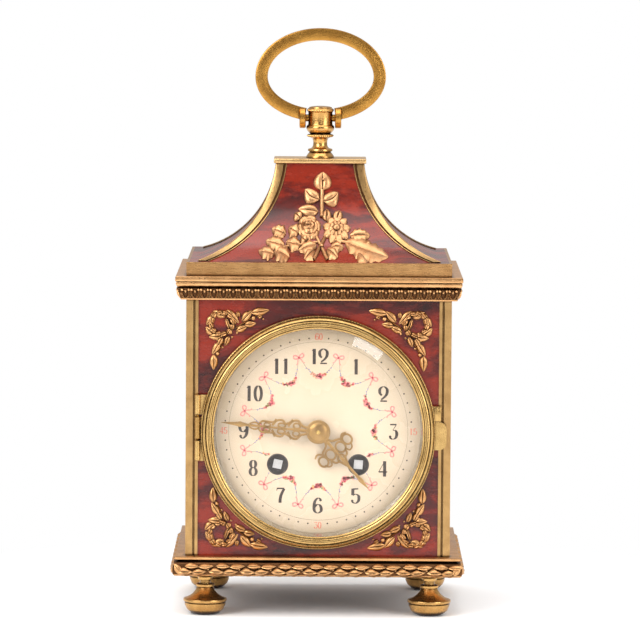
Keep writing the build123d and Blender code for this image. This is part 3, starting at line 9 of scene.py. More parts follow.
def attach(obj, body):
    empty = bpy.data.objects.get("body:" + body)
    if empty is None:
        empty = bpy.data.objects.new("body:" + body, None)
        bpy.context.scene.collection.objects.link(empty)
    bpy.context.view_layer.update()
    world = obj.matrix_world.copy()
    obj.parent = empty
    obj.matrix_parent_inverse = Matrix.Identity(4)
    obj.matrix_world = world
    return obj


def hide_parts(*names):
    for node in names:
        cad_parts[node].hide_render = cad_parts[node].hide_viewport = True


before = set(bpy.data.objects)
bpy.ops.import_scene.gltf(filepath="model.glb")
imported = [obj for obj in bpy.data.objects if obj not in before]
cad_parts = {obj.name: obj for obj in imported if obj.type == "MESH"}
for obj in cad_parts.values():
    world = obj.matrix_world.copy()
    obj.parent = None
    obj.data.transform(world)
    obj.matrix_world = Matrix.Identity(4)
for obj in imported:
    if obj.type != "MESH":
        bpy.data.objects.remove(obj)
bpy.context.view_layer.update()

# Turned brass feet
# Four toupie feet, each turned in brass in one piece: a bowl, a rim, a hollow neck
# and a small flange under the base board. The lathe has left fine rings on the rim.

MM = 0.001
SCENE = bpy.context.scene.collection


def srgb(red, green, blue):
    """Photograph values 0-255 as linear colour."""
    values = []
    for value in (red, green, blue):
        value = value / 255
        values.append(value / 12.92 if value <= 0.04045 else ((value + 0.055) / 1.055) ** 2.4)
    return (*values, 1.0)


def node(tree, kind, inputs=None, **settings):
    """A shader node with its settings and its inputs, each a value or a socket."""
    made = tree.nodes.new(kind)
    for key, value in settings.items():
        setattr(made, key, value)
    for key, value in (inputs or {}).items():
        if isinstance(value, bpy.types.NodeSocket):
            tree.links.new(value, made.inputs[key])
        else:
            made.inputs[key].default_value = value
    return made


def blank(name):
    material = bpy.data.materials.new(name)
    material.use_nodes = True
    tree = material.node_tree
    shader = tree.nodes["Principled BSDF"]
    return material, tree, shader


def grain(tree, scale, detail=3.0, stretch=(1, 1, 1), rough=0.55):
    """Noise in object coordinates, 0-1, with the scale per metre."""
    where = node(tree, "ShaderNodeTexCoord").outputs["Object"]
    mapped = node(tree, "ShaderNodeMapping", {"Vector": where, "Scale": stretch}).outputs[0]
    inputs = {"Vector": mapped, "Scale": scale, "Detail": detail, "Roughness": rough}
    return node(tree, "ShaderNodeTexNoise", inputs).outputs[0]


def fit(tree, value, low, high, to_low=0.0, to_high=1.0):
    inputs = {0: value, 1: low, 2: high, 3: to_low, 4: to_high}
    return node(tree, "ShaderNodeMapRange", inputs).outputs[0]


def mix(tree, factor, one, two, blend="MIX"):
    inputs = {0: factor, 6: one, 7: two}
    return node(tree, "ShaderNodeMix", inputs, data_type="RGBA", blend_type=blend).outputs[2]


def times(tree, one, two):
    return node(tree, "ShaderNodeMath", {0: one, 1: two}, operation="MULTIPLY").outputs[0]


def coat(tree, shader, colour, rough, height=None, strength=0.0, depth=0.2):
    """Give the shader its colour, its roughness and a bump with a depth in millimetres."""
    tree.links.new(colour, shader.inputs["Base Color"])
    tree.links.new(rough, shader.inputs["Roughness"])
    if height is not None:
        inputs = {"Strength": strength, "Distance": depth * MM, "Height": height}
        tree.links.new(node(tree, "ShaderNodeBump", inputs).outputs[0], shader.inputs["Normal"])


def metal(name, light, dark, rough=0.3, patina_and_shade=None, reach=1.2, stretch=(1, 1, 1), bump=0.12,
          fine=2500, wear=0.4, pits=0.35):
    """Worn metal: cloudy colour, fine grain, and painted shade in a patina brown that darkens its
    recesses.
    """
    material, tree, shader = blank(name)
    light, dark = srgb(*light), srgb(*dark)
    cloud = fit(tree, grain(tree, 160, 4), 0.38, 0.62)
    speck = grain(tree, fine, 4, stretch)
    colour = mix(tree, times(tree, cloud, wear), light, dark)
    colour = mix(tree, fit(tree, speck, 0.62, 0.75, 0.0, pits), colour, dark)
    # Painted shade: an ambient occlusion mask darkens the colour in the recesses towards the patina
    # brown.
    if patina_and_shade:
        inputs = {"Distance": reach * MM}
        shade = node(tree, "ShaderNodeAmbientOcclusion", inputs, samples=6).outputs["AO"]
        colour = mix(tree, fit(tree, shade, 0.5, 0.97, 1.0, 0.0), colour, srgb(*patina_and_shade))
    shader.inputs["Metallic"].default_value = 1.0
    dull = fit(tree, speck, 0.3, 0.7, rough - 0.08, rough + 0.12)
    coat(tree, shader, colour, dull, speck, bump, 0.12)
    return material


def finish_piece(name, bm, material, body, soft=38):
    """Close a bmesh drawn in millimetres as a smooth object in metres."""
    bmesh.ops.remove_doubles(bm, verts=bm.verts, dist=0.002)
    bmesh.ops.recalc_face_normals(bm, faces=bm.faces)
    bmesh.ops.scale(bm, vec=(MM, MM, MM), verts=bm.verts)
    mesh = bpy.data.meshes.new(name)
    bm.to_mesh(mesh)
    bm.free()
    mesh.polygons.foreach_set("use_smooth", [True] * len(mesh.polygons))
    mesh.set_sharp_from_angle(angle=math.radians(soft))
    piece = bpy.data.objects.new(name, mesh)
    SCENE.objects.link(piece)
    for each in material if isinstance(material, list) else [material]:
        mesh.materials.append(each)
    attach(piece, body)
    return piece


def turned(bm, profile, origin, axis=(0, 0, 1), steps=72):
    """Turn a profile of (radius, height) points about an axis through the origin."""
    axis = Vector(axis)
    side = Vector((1, 0, 0)) if abs(axis.x) < 0.5 else Vector((0, 0, 1))
    verts = [bm.verts.new(Vector(origin) + side * r + axis * h) for r, h in profile]
    edges = [bm.edges.new(pair) for pair in zip(verts, verts[1:])]
    bmesh.ops.spin(bm, geom=verts + edges, cent=origin, axis=axis, angle=2 * math.pi,
                   steps=steps, use_merge=True)


def bead(bm, centre, radius, squash=(1, 1, 1), detail=1):
    """A small round grain."""
    made = bmesh.ops.create_icosphere(bm, subdivisions=detail, radius=radius)["verts"]
    bmesh.ops.scale(bm, vec=squash, verts=made)
    bmesh.ops.translate(bm, vec=centre, verts=made)


foot_brass = metal("foot brass", (204, 160, 98), (146, 102, 54), 0.28, (64, 40, 20), 2.4)
for column, across in (("left", -49.6), ("right", 49.6)):
    for row, along in (("front", -41.3), ("back", 41.3)):
        form = bmesh.new()
        outline = [
            (0, 0), (4.2, 0), (6.4, 0.7), (8.2, 2.3), (9.0, 4.2), (9.1, 5.1), (8.75, 5.3), (8.75, 5.6),
            (9.5, 5.8), (9.67, 6.3), (9.5, 6.9), (8.6, 7.2), (7.0, 7.9), (5.4, 9.1), (4.2, 10.7),
            (3.7, 12.1), (4.1, 12.3), (4.15, 13.2), (3.7, 13.5), (2.5, 13.6), (2.35, 14.4), (2.5, 15.2),
            (3.1, 15.3), (3.3, 15.9), (3.2, 16.6), (2.7, 16.9), (2.7, 18.5), (0, 18.5),
        ]
        turned(form, outline, (across, along, 0), steps=64)
        piece = finish_piece(f"foot_{row}_{column}_turned", form, foot_brass, "case")
        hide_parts(f"foot_{row}_{column}")

# Base moulding
# A cast and gilded moulding round the base board, mitred at the corners. Two rows of laurel
# leaves with small berries lie on its swelling face, under a plain fillet and a hollow. The ground
# behind the leaves and the hollow are coloured dark brown as painted shade.

HALF_W = 58.3
HALF_D = 50.0
cast_gilt = metal("cast gilt", (214, 164, 112), (166, 116, 70), 0.32, (52, 32, 18), 1.6,
                  bump=0.25, fine=1500)
# Painted shade: a dark brown for the ground behind the cast leaves and for the hollows.
ground_shade = metal("ground shade", (104, 70, 44), (66, 42, 26), 0.42, (40, 24, 14), 1.5)


def skin(bm, rings, closed=False, dark=()):
    """Faces from ring to ring. Strips numbered in dark take the second material."""
    size = len(rings[0])
    for here, there in zip(rings, rings[1:]):
        for k in range(size if closed else size - 1):
            j = (k + 1) % size
            made = bm.faces.new((here[k], here[j], there[j], there[k]))
            made.material_index = 1 if k in dark else 0


def framed(bm, outline, ground=(), half_w=HALF_W, half_d=HALF_D):
    """A mitred moulding: (overhang, level) points led round four corners; the ground strips take the
    painted shade colour.
    """
    corners = ((-1, -1), (1, -1), (1, 1), (-1, 1))
    rings = [
        [bm.verts.new((sx * (half_w + out), sy * (half_d + out), z)) for out, z in outline]
        for sx, sy in corners
    ]
    skin(bm, rings + rings[:1], True, ground)


def leaf(bm, place, root, tip, width, crown=0.9, teeth=0, bend=0.0, rows=9, lift=0.0, fold=0.2,
         full=0.75):
    """A cast leaf with a sunk midrib. place(u, v, h) gives a point h above the ground."""
    du, dv = tip[0] - root[0], tip[1] - root[1]
    across = (-0.5, -0.42, -0.22, -0.05, 0.0, 0.05, 0.22, 0.42, 0.5)
    rise = (0.0, 0.5, 1.0, 0.85, 1 - fold * 2, 0.85, 1.0, 0.5, 0.0)
    rings = []
    length = math.hypot(du, dv)
    nu, nv = -dv / length, du / length
    for i in range(rows + 1):
        t = i / rows
        half = math.sin(math.pi * t ** 0.85) ** full if 0 < i < rows else 0.05
        if teeth and 0 < i < rows:
            half *= 1 + 0.13 * math.cos(2 * math.pi * teeth * t)
        swing = bend * math.sin(math.pi * t)
        high = crown * (0.35 + 0.65 * math.sin(math.pi * min(1.0, t * 0.9 + 0.1)))
        ring = []
        for s, h in zip(across, rise):
            u = root[0] + du * t + nu * (s * width * half + swing)
            v = root[1] + dv * t + nv * (s * width * half + swing)
            ring.append(bm.verts.new(place(u, v, lift + h * high * min(1, half + 0.2))))
        rings.append(ring)
    skin(bm, rings)


def face_places(half_w, half_d, surface):
    """Placing functions for the four sides of the case; surface(v) gives the overhang there."""
    def front(u, v, h):
        return (u, -(half_d + surface(v) + h), v)

    def back(u, v, h):
        return (-u, half_d + surface(v) + h, v)

    def left(u, v, h):
        return (-(half_w + surface(v) + h), -u, v)

    def right(u, v, h):
        return (half_w + surface(v) + h, u, v)
    return ((front, half_w), (back, half_w), (left, half_d), (right, half_d))


def base_swell(v):
    """Overhang of the base moulding's face at a level."""
    t = max(0.0, min(1.0, (v - 18.5) / 6.1))
    return 4.5 + 0.9 * math.sin(math.pi * (0.15 + 0.75 * t))


form = bmesh.new()
framed(form, [
    (-3, 18.5), (4.6, 18.5), (5.2, 19.2), (5.45, 20.6), (5.4, 22.2), (5.0, 23.8), (4.6, 24.5),
    (3.7, 24.7), (3.2, 25.2), (3.0, 25.6), (4.3, 25.7), (4.5, 26.1), (4.4, 26.8), (4.0, 27.0),
    (-3, 27.0),
], range(2, 10))
for place, half in face_places(HALF_W, HALF_D, base_swell):
    reach = half + 3.5
    count = round(2 * reach / 13.4)
    pitch = 2 * reach / count
    for i in range(count):
        u = -reach + pitch * i
        leaf(form, place, (u + 0.2, 20.6), (u + 7.2, 20.3), 3.4, 1.35, bend=0.2, fold=0.3)
        leaf(form, place, (u + 6.4, 20.3), (u + 13.2, 20.8), 3.2, 1.25, bend=-0.2, fold=0.3)
        leaf(form, place, (u + 3.4, 22.9), (u + 9.8, 22.7), 2.9, 1.2, bend=0.2, fold=0.3)
        leaf(form, place, (u + 9.6, 22.7), (u + 16.2, 23.1), 2.7, 1.1, bend=-0.2, fold=0.3)
        leaf(form, place, (u + 2.2, 18.9), (u + 7.0, 19.2), 1.3, 0.6, rows=6)
        leaf(form, place, (u + 8.6, 18.9), (u + 13.0, 19.2), 1.3, 0.6, rows=6)
        bead(form, place(u + 6.3, 23.6, 0.3), 0.62)
        bead(form, place(u + 0.1, 21.6, 0.3), 0.5)
    for end in (-1, 1):
        leaf(form, place, (end * (half + 1.0), 19.2), (end * (half + 4.9), 23.9), 3.4, 0.9)
piece = finish_piece("base_moulding_cast", form, [cast_gilt, ground_shade], "case", 50)
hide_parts("base_moulding")

# Case panels, posts and carcass
# The carcass is stained wood. Tortoiseshell veneer over red covers its sides, and brass angle
# strips with an engraved dark line guard its corners.


def shell_veneer():
    material, tree, shader = blank("red shell veneer")
    where = node(tree, "ShaderNodeTexCoord").outputs["Object"]
    slant = {"Vector": where, "Rotation": (0, math.radians(32), 0), "Scale": (0.55, 1.0, 1.5)}
    mapped = node(tree, "ShaderNodeMapping", slant).outputs[0]
    inputs = {"Vector": mapped, "Scale": 48, "Detail": 5, "Roughness": 0.6, "Distortion": 0.6}
    wide = node(tree, "ShaderNodeTexNoise", inputs).outputs[0]
    small = grain(tree, 260, 3, (0.6, 1.0, 1.2), 0.6)
    colour = mix(tree, fit(tree, wide, 0.44, 0.54), srgb(116, 28, 9), srgb(72, 13, 7))
    colour = mix(tree, fit(tree, wide, 0.55, 0.68), colour, srgb(32, 8, 6))
    colour = mix(tree, fit(tree, small, 0.56, 0.72, 0.0, 0.35), colour, srgb(134, 40, 18))
    coat(tree, shader, colour, fit(tree, small, 0.3, 0.7, 0.2, 0.32), grain(tree, 45, 2), 0.25, 0.5)
    shader.inputs["Specular IOR Level"].default_value = 0.35
    shader.inputs["Coat Weight"].default_value = 0.15
    shader.inputs["Coat Roughness"].default_value = 0.12
    return material


def stained_wood():
    material, tree, shader = blank("stained wood")
    lines = grain(tree, 900, 5, (1.0, 0.06, 1.0))
    colour = mix(tree, fit(tree, lines, 0.35, 0.65), srgb(92, 58, 34), srgb(48, 28, 17))
    coat(tree, shader, colour, fit(tree, lines, 0.3, 0.7, 0.5, 0.7), lines, 0.3)
    return material


def dress(material, *nodes):
    """Give CAD nodes a better material in each of their slots."""
    for each in nodes:
        holder = bpy.data.objects[each] if each in bpy.data.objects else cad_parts[each]
        for index in range(max(1, len(holder.data.materials))):
            if len(holder.data.materials) <= index:
                holder.data.materials.append(material)
            holder.data.materials[index] = material


veneer = shell_veneer()
wood = stained_wood()
post_brass = metal("post brass", (190, 152, 100), (138, 102, 62), 0.32, (52, 30, 16), 1.1,
                   (1, 1, 0.08), 0.18)
dress(veneer, "front_panel", "back_panel", "left_panel", "right_panel")
dress(wood, "carcass", "base_board")
dress(veneer, "hood_core")
dress(post_brass, "corner_posts")

# Cornice
# A cast and gilded moulding at the top of the body, mitred like the base: a leaf-and-dart band,
# a polished quarter round over it, and a plain step at the top.


def cornice_slope(v):
    return 2.4 + (v - 140.3) / 4.9 * 1.2


form = bmesh.new()
# The ground of the leaf-and-dart band takes the painted shade colour.
framed(form, [
    (-3, 140.3), (2.3, 140.3), (2.5, 140.9), (3.6, 145.0), (3.4, 145.4), (3.1, 145.6), (3.3, 146.0),
    (4.0, 146.3), (4.4, 147.0), (4.5, 147.8), (4.3, 148.2), (4.1, 148.3), (4.7, 148.5), (4.8, 149.0),
    (4.75, 150.2), (4.5, 150.6), (-3, 150.6),
], range(2, 5))
for place, half in face_places(HALF_W, HALF_D, cornice_slope):
    reach = half + 2.4
    count = round(2 * reach / 4.25)
    pitch = 2 * reach / count
    for i in range(count):
        u = -reach + pitch * (i + 0.5)
        leaf(form, place, (u - 1.5, 145.2), (u - 0.2, 140.9), 1.2, 1.0, bend=-0.75, rows=7, full=0.4)
        leaf(form, place, (u + 1.5, 145.2), (u + 0.2, 140.9), 1.2, 1.0, bend=0.75, rows=7, full=0.4)
        bead(form, place(u - 1.5, 144.7, 0.35), 0.75)
        bead(form, place(u + 1.5, 144.7, 0.35), 0.75)
        leaf(form, place, (u + pitch / 2, 143.6), (u + pitch / 2, 140.7), 0.9, 0.6, rows=5)
        bead(form, place(u, 144.1, 0.05), 0.5, (1, 0.6, 1.4))
piece = finish_piece("cornice_cast", form, [cast_gilt, ground_shade], "case", 50)
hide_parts("cornice_moulding")
fascia_brass = metal("fascia brass", (196, 150, 98), (150, 106, 62), 0.28, (60, 36, 20), 1.0,
                     (0.08, 0.08, 1), 0.16)
dress(fascia_brass, "hood_fascia")

# Hood panels
# The hood is hollow on all four sides. Each side has a thin sheet of shell veneer bent to the
# hollow, with brass strips along the four corners.

FASCIA_TOP = 156.6
HOOD_TOP = 198.3
ARC_OUT = 9.16
ARC_LEVEL = 202.82
ARC = 48.37


def hollow(z):
    """How far the hood's side stands from the body's side at a level (negative is inward)."""
    return ARC_OUT - math.sqrt(ARC ** 2 - (ARC_LEVEL - z) ** 2)


def hood_side(sx, sy):
    """place(u, v, h) on one hollow side: u across, v the level, h proud of the veneer."""
    def place(u, v, h):
        out = hollow(v)
        lift_out = h * (ARC_OUT - out) / ARC
        lift_up = h * (ARC_LEVEL - v) / ARC
        away = (HALF_D if sy else HALF_W) + out + lift_out
        if sy:
            return (u, sy * away, v + lift_up)
        return (sx * away, u, v + lift_up)
    return place


STRIP = 4.4
sides = {"front": (0, -1), "back": (0, 1), "left": (-1, 0), "right": (1, 0)}
for label, (sx, sy) in sides.items():
    form = bmesh.new()
    place = hood_side(sx, sy)
    half = HALF_W if sy else HALF_D
    levels = 26
    columns = 24
    for depth in (-0.1, -1.1):
        grid = []
        for i in range(levels + 1):
            v = FASCIA_TOP + (HOOD_TOP - FASCIA_TOP) * i / levels
            edge = half + hollow(v) - STRIP + 0.3
            grid.append([
                form.verts.new(place(edge * (2 * k / columns - 1), v, depth)) for k in range(columns + 1)
            ])
        skin(form, grid)
    border = [edge for edge in form.edges if edge.is_boundary]
    bmesh.ops.bridge_loops(form, edges=border)
    piece = finish_piece(f"hood_{label}_sheet", form, veneer, "case")
    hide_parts(f"hood_{label}_panel")

# Hood corner strips
# Brass angles bent to the hood's hollow. Each leg has a plain band at the arris, an engraved
# line and a thin fillet beside the veneer. The floor of the engraved line is coloured dark as painted
# shade.

# Painted shade: the floor of the engraved line on each leg is coloured dark.
groove_shade = metal("groove shade", (84, 54, 32), (50, 30, 18), 0.5)
form = bmesh.new()
section = ((4.5, 0.0), (4.45, 0.25), (4.1, 0.28), (4.0, 0.0), (3.1, 0.0), (3.0, 0.42), (0.4, 0.5))
GROOVES = (3, 10)
for sx in (-1, 1):
    for sy in (-1, 1):
        rings = []
        for i in range(31):
            v = FASCIA_TOP + (HOOD_TOP - FASCIA_TOP) * i / 30
            on_front = hood_side(0, sy)
            on_side = hood_side(sx, 0)
            edge_w = HALF_W + hollow(v)
            edge_d = HALF_D + hollow(v)
            ring = [on_front(sx * (edge_w - away), v, lift) for away, lift in section]
            ring.append((sx * (edge_w + 0.3), sy * (edge_d + 0.3), v))
            ring += [on_side(sy * (edge_d - away), v, lift) for away, lift in reversed(section)]
            ring.append((sx * (edge_w - 1.5), sy * (edge_d - 1.5), v))
            rings.append([form.verts.new(point) for point in ring])
        skin(form, rings, True, GROOVES)
        form.faces.new(rings[0])
        form.faces.new(rings[-1])
piece = finish_piece("hood_strips_bent", form, [post_brass, groove_shade], "case", 30)
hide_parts("hood_corner_strips")

# Top plate
# A flat brass plate, cut from sheet with its edges eased, closes the hood. It carries the
# pedestal of the handle.


def block(bm, size, centre):
    """A box; its corners are returned."""
    made = bmesh.ops.create_cube(bm, size=1.0)["verts"]
    bmesh.ops.scale(bm, vec=size, verts=made)
    bmesh.ops.translate(bm, vec=centre, verts=made)
    return made


form = bmesh.new()
block(form, (41.2, 24.6, 2.0), (0, 0, 199.3))
bmesh.ops.bevel(form, geom=form.edges[:], offset=0.35, segments=3, profile=0.5, affect="EDGES")
plate_gilt = metal("top plate brass", (222, 184, 128), (170, 128, 78), 0.3, (90, 60, 34), 1.0)
piece = finish_piece("top_plate_flat", form, plate_gilt, "case")
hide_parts("top_plate")

# Handle pedestal and head
# Both are turned in brass. The flange under the head has a row of beads and the head's upper
# rim is knurled.


def oval(u, v, ru, rv, count, extra=0):
    """Points round an oval; extra=1 repeats the first point at the end."""
    turns = [2 * math.pi * i / count for i in range(count + extra)]
    return [(u + ru * math.cos(turn), v + rv * math.sin(turn)) for turn in turns]


turned_brass = metal("turned brass", (206, 160, 94), (150, 104, 54), 0.24, (64, 38, 18), 1.8,
                     (0.3, 0.3, 3), pits=0.1)
PLATE_TOP = 200.3
form = bmesh.new()
outline = [
    (0, 0), (6.26, 0), (6.26, 0.5), (5.9, 1.2), (5.3, 2.0), (4.8, 2.6), (4.9, 2.8), (5.45, 3.1),
    (5.5, 3.6), (5.3, 4.0), (4.2, 4.3), (3.5, 4.8), (3.15, 5.8), (3.1, 6.8), (3.2, 7.8), (3.5, 8.6),
    (4.5, 9.1), (5.5, 9.4), (5.6, 10.5), (5.2, 10.6), (0, 10.6),
]
turned(form, outline, (0, 0, PLATE_TOP), steps=64)
for x, y in oval(0, 0, 5.55, 5.55, 36):
    bead(form, (x, y, PLATE_TOP + 9.95), 0.5)
piece = finish_piece("pedestal_turned", form, turned_brass, "case")
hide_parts("handle_pedestal")
HEAD_BASE = 210.9
form = bmesh.new()
outline = [
    (0, 0), (4.4, 0), (4.9, 0.5), (5.8, 1.5), (6.2, 2.4), (6.25, 3.2), (6.0, 3.8), (5.5, 4.2),
    (5.4, 4.8), (5.4, 9.6), (5.5, 9.9), (5.8, 10.2), (5.85, 11.2), (5.6, 11.5), (5.2, 11.6), (5.0, 12.1),
    (4.0, 12.4), (2.0, 12.6), (0, 12.65),
]
turned(form, outline, (0, 0, HEAD_BASE), steps=64)
for x, y in oval(0, 0, 5.65, 5.65, 48):
    bead(form, (x, y, HEAD_BASE + 10.7), 0.36, (1, 1, 1.7))
piece = finish_piece("head_turned", form, turned_brass, "case")
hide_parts("handle_head")

# Handle
# An oval bail of gilded brass with rounded edges. Its two ends run into round ears, which turn
# on a pin through the head.

handle_gilt = metal("handle gilt", (188, 138, 66), (140, 94, 38), 0.3, (60, 34, 12), 1.0,
                    bump=0.03, fine=3200, wear=0.5, pits=0.08)
PIVOT = 218.1
OVAL = PIVOT + 18.4
form = bmesh.new()
section = ((2.75, 1.25), (2.6, 1.55), (2.25, 1.7), (-2.25, 1.6), (-2.6, 1.5), (-2.75, 1.2),
           (-2.75, -1.2), (-2.6, -1.5), (-2.25, -1.6), (2.25, -1.7), (2.6, -1.55), (2.75, -1.25))
rings = []
for i in range(121):
    turn = math.radians(-90 + 14.5 + (360 - 29) * i / 120)
    rise = 21.8 if math.sin(turn) > 0 else 20.0
    middle = Vector(((29.2 - 2.75) * math.cos(turn), 0, (rise - 2.75) * math.sin(turn)))
    outward = Vector((math.cos(turn) / 29.2, 0, math.sin(turn) / rise)).normalized()
    ring = []
    for away, deep in section:
        point = middle + outward * away
        ring.append(form.verts.new((point.x, deep, OVAL + point.z)))
    rings.append(ring)
skin(form, rings, True)
form.faces.new(rings[0])
form.faces.new(rings[-1])
for side in (-1, 1):
    ear = [(0, 0), (4.2, 0), (4.6, 0.35), (4.6, 2.45), (4.2, 2.8), (0, 2.8)]
    turned(form, ear, (side * 6.56, 0, PIVOT), (side, 0, 0), 40)
piece = finish_piece("handle_oval", form, handle_gilt, "handle")
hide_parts("handle_bail")
steel = metal("steel", (176, 178, 182), (112, 114, 120), 0.24, (40, 40, 44), 0.8)
dress(handle_gilt, "handle_pin", "bezel_hinge_pin")

# Bouquet on the hood
# One cast and gilded mount pinned to the front of the hood: crossed stems, a rose, an open
# flower, a berry and sprays of leaves, with a leaf and a pin at the top.

hood_front = hood_side(0, -1)
LEVELS = [FASCIA_TOP + 0.1 * i for i in range(417)]
EYE = Vector((0, -2139.9, 307.9))
TILT = math.radians(4.825)
LENS_PIXELS = 4777.7
CROP_TOP = 150
CROP_SCALE = 10.116
CROP_MIDDLE = 748.6
CROP_MM = 0.04448


def row_level(row):
    """Level on the hood's hollow front for a row of the photograph."""
    pixel_row = CROP_TOP + row / CROP_SCALE
    best = None
    for v in LEVELS:
        y = -(HALF_D + hollow(v))
        seen = 320 + LENS_PIXELS * math.tan(math.atan2(EYE.z - v, y - EYE.y) - TILT)
        if best is None or abs(seen - pixel_row) < best[0]:
            best = (abs(seen - pixel_row), v)
    return best[1]


def on_hood(column, row):
    return ((column - CROP_MIDDLE) * CROP_MM, row_level(row))


bouquet_gilt = metal("bouquet gilt", (200, 152, 108), (146, 100, 64), 0.38, (50, 28, 16), 1.8,
                     bump=0.3, fine=1300)


def petals(bm, place, centre, radius, layers, height):
    """A flower: rings of overlapping petals around a centre."""
    for count, inner, outer, turn, high in layers:
        for i in range(count):
            angle = turn + 2 * math.pi * i / count
            du, dv = radius * math.cos(angle), radius * math.sin(angle)
            root = (centre[0] + du * inner, centre[1] + dv * inner)
            tip = (centre[0] + du * outer, centre[1] + dv * outer)
            wide = 2 * math.pi * radius * outer / count * 0.9
            leaf(bm, place, root, tip, wide, height * 0.5, rows=8, lift=height * high, fold=0.1,
                 full=0.42)


def heading(points, i, closed=False):
    """Unit direction of a line of points at point i."""
    last = len(points) - 1
    a = points[i - 1] if (closed or i) else points[0]
    b = points[(i + 1) % len(points)] if (closed or i < last) else points[last]
    size = math.hypot(b[0] - a[0], b[1] - a[1]) or 1
    return (b[0] - a[0]) / size, (b[1] - a[1]) / size


STEM = ((-0.5, 0.0), (-0.42, 0.6), (0.0, 1.0), (0.42, 0.6), (0.5, 0.0))


def strand(bm, place, points, width, height, section=STEM, closed=False):
    """A stem or ribbon along points, lying on the ground. The width may be a list."""
    rings = []
    for i, (u, v) in enumerate(points):
        tu, tv = heading(points, i)
        here = width[i] if isinstance(width, list) else width
        rings.append([bm.verts.new(place(u - tv * s * here, v + tu * s * here, h * height))
                      for s, h in section])
    skin(bm, rings, closed)
    return rings


form = bmesh.new()
hood_leaves = [
    ((775, 415), (775, 222), 140, 0, 0), ((745, 500), (600, 400), 120, 0, 60),
    ((780, 520), (930, 430), 120, 0, -60), ((735, 625), (535, 600), 95, 0, 0),
    ((560, 700), (500, 640), 90, 0, 0), ((410, 860), (275, 800), 115, 3, 0),
    ((540, 850), (440, 790), 115, 2, 0), ((400, 980), (215, 925), 115, 3, 0),
    ((560, 975), (415, 935), 110, 2, 0), ((300, 1060), (145, 1030), 95, 3, 0),
    ((450, 1090), (295, 1020), 125, 3, 0), ((720, 960), (540, 1020), 100, 3, 0),
    ((1050, 870), (1250, 862), 110, 4, 0), ((860, 985), (990, 985), 80, 2, 0),
    ((1000, 930), (1430, 1080), 150, 6, -30), ((1120, 1020), (1230, 1130), 100, 2, 0),
    ((820, 720), (820, 600), 80, 0, 0), ((910, 720), (950, 610), 85, 0, 0),
    ((620, 930), (560, 890), 90, 0, 0), ((700, 1020), (600, 1110), 90, 2, 0),
    ((820, 1010), (930, 1090), 90, 2, 0),
]
for root, tip, wide, teeth, bend in hood_leaves:
    rows = 24 if teeth else 12
    leaf(form, hood_front, on_hood(*root), on_hood(*tip), wide * 0.056, 1.25, teeth, bend * 0.02,
         rows, 0.15, 0.26, 0.6)
strand(form, hood_front, [on_hood(770, y) for y in range(400, 700, 40)], 1.9, 1.0)
strand(form, hood_front, [on_hood(690 + 110 * i / 6, 1115 - 230 * i / 6) for i in range(7)], 1.6, 1.1)
strand(form, hood_front, [on_hood(830 - 110 * i / 6, 1115 - 230 * i / 6) for i in range(7)], 1.6, 1.0)
strand(form, hood_front, [on_hood(300 + 90 * i, 1000 - 14 * i) for i in range(6)], 0.9, 0.8)
strand(form, hood_front, [on_hood(900 + 75 * i, 915 + 12 * i) for i in range(5)], 1.1, 0.9)
rose = on_hood(640, 785)
petals(form, hood_front, rose, 5.6, ((6, 0.3, 1.0, 0.2, 0.0),), 2.2)
heart = []
for i in range(9):
    share = i / 8
    rim = enumerate(oval(*rose, 4.3 * share, 4.3 * share, 36))
    heart.append([form.verts.new(hood_front(
        u, v, 2.3 - 1.6 * share ** 2 + 0.4 * math.sin(share * 17 + k * math.pi / 18)))
        for k, (u, v) in rim])
skin(form, heart, True)
flower = on_hood(917, 805)
petals(form, hood_front, flower, 6.3, ((9, 0.2, 1.0, 0.1, 0.1), (9, 0.15, 0.6, 0.45, 0.35)), 2.0)
bead(form, hood_front(*flower, 1.1), 1.8, (1, 0.7, 1), 2)
bead(form, hood_front(*on_hood(1232, 955), 0.6), 1.1, detail=2)
bead(form, hood_front(*on_hood(785, 300), 1.0), 0.75, detail=2)
bead(form, hood_front(*on_hood(770, 660), 0.5), 1.1)
bead(form, hood_front(*on_hood(770, 985), 0.9), 1.0, detail=2)
piece = finish_piece("hood_bouquet_cast", form, bouquet_gilt, "case", 60)
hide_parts("hood_bouquet")

# Wreaths at the dial's corners
# Four cast and gilded mounts, one in each corner of the front: a ring of laurel with sprays of
# leaves and berries that fill the corner.

FRONT_SKIN = -49.2
CROP_STEP = 0.0287
wreath_gilt = metal("wreath gilt", (204, 154, 102), (146, 98, 58), 0.34, (50, 28, 16), 1.6,
                    bump=0.3, fine=1300)
wreath_leaves = [
    ((545, 300), (350, 215), 90), ((560, 195), (750, 400), 90), ((545, 310), (620, 520), 60),
    ((370, 290), (250, 430), 90), ((360, 570), (240, 460), 90), ((480, 600), (290, 610), 85),
    ((735, 310), (735, 210), 62), ((790, 370), (950, 200), 95), ((930, 240), (1210, 195), 95),
    ((1030, 310), (1110, 270), 60), ((700, 520), (880, 440), 80), ((830, 420), (1010, 400), 80),
    ((460, 690), (340, 880), 85), ((370, 880), (365, 1120), 95), ((600, 590), (535, 750), 70),
    ((440, 600), (560, 540), 60), ((300, 330), (350, 420), 70), ((500, 610), (420, 760), 70),
    ((640, 330), (700, 430), 66), ((330, 500), (400, 560), 60), ((420, 240), (300, 300), 66),
]
wreath_beads = [(970, 320, 48), (720, 545, 26), (415, 650, 26), (645, 610, 24), (425, 870, 42),
                (780, 450, 26), (500, 770, 24), (1120, 330, 20), (330, 1000, 22)]
form = bmesh.new()
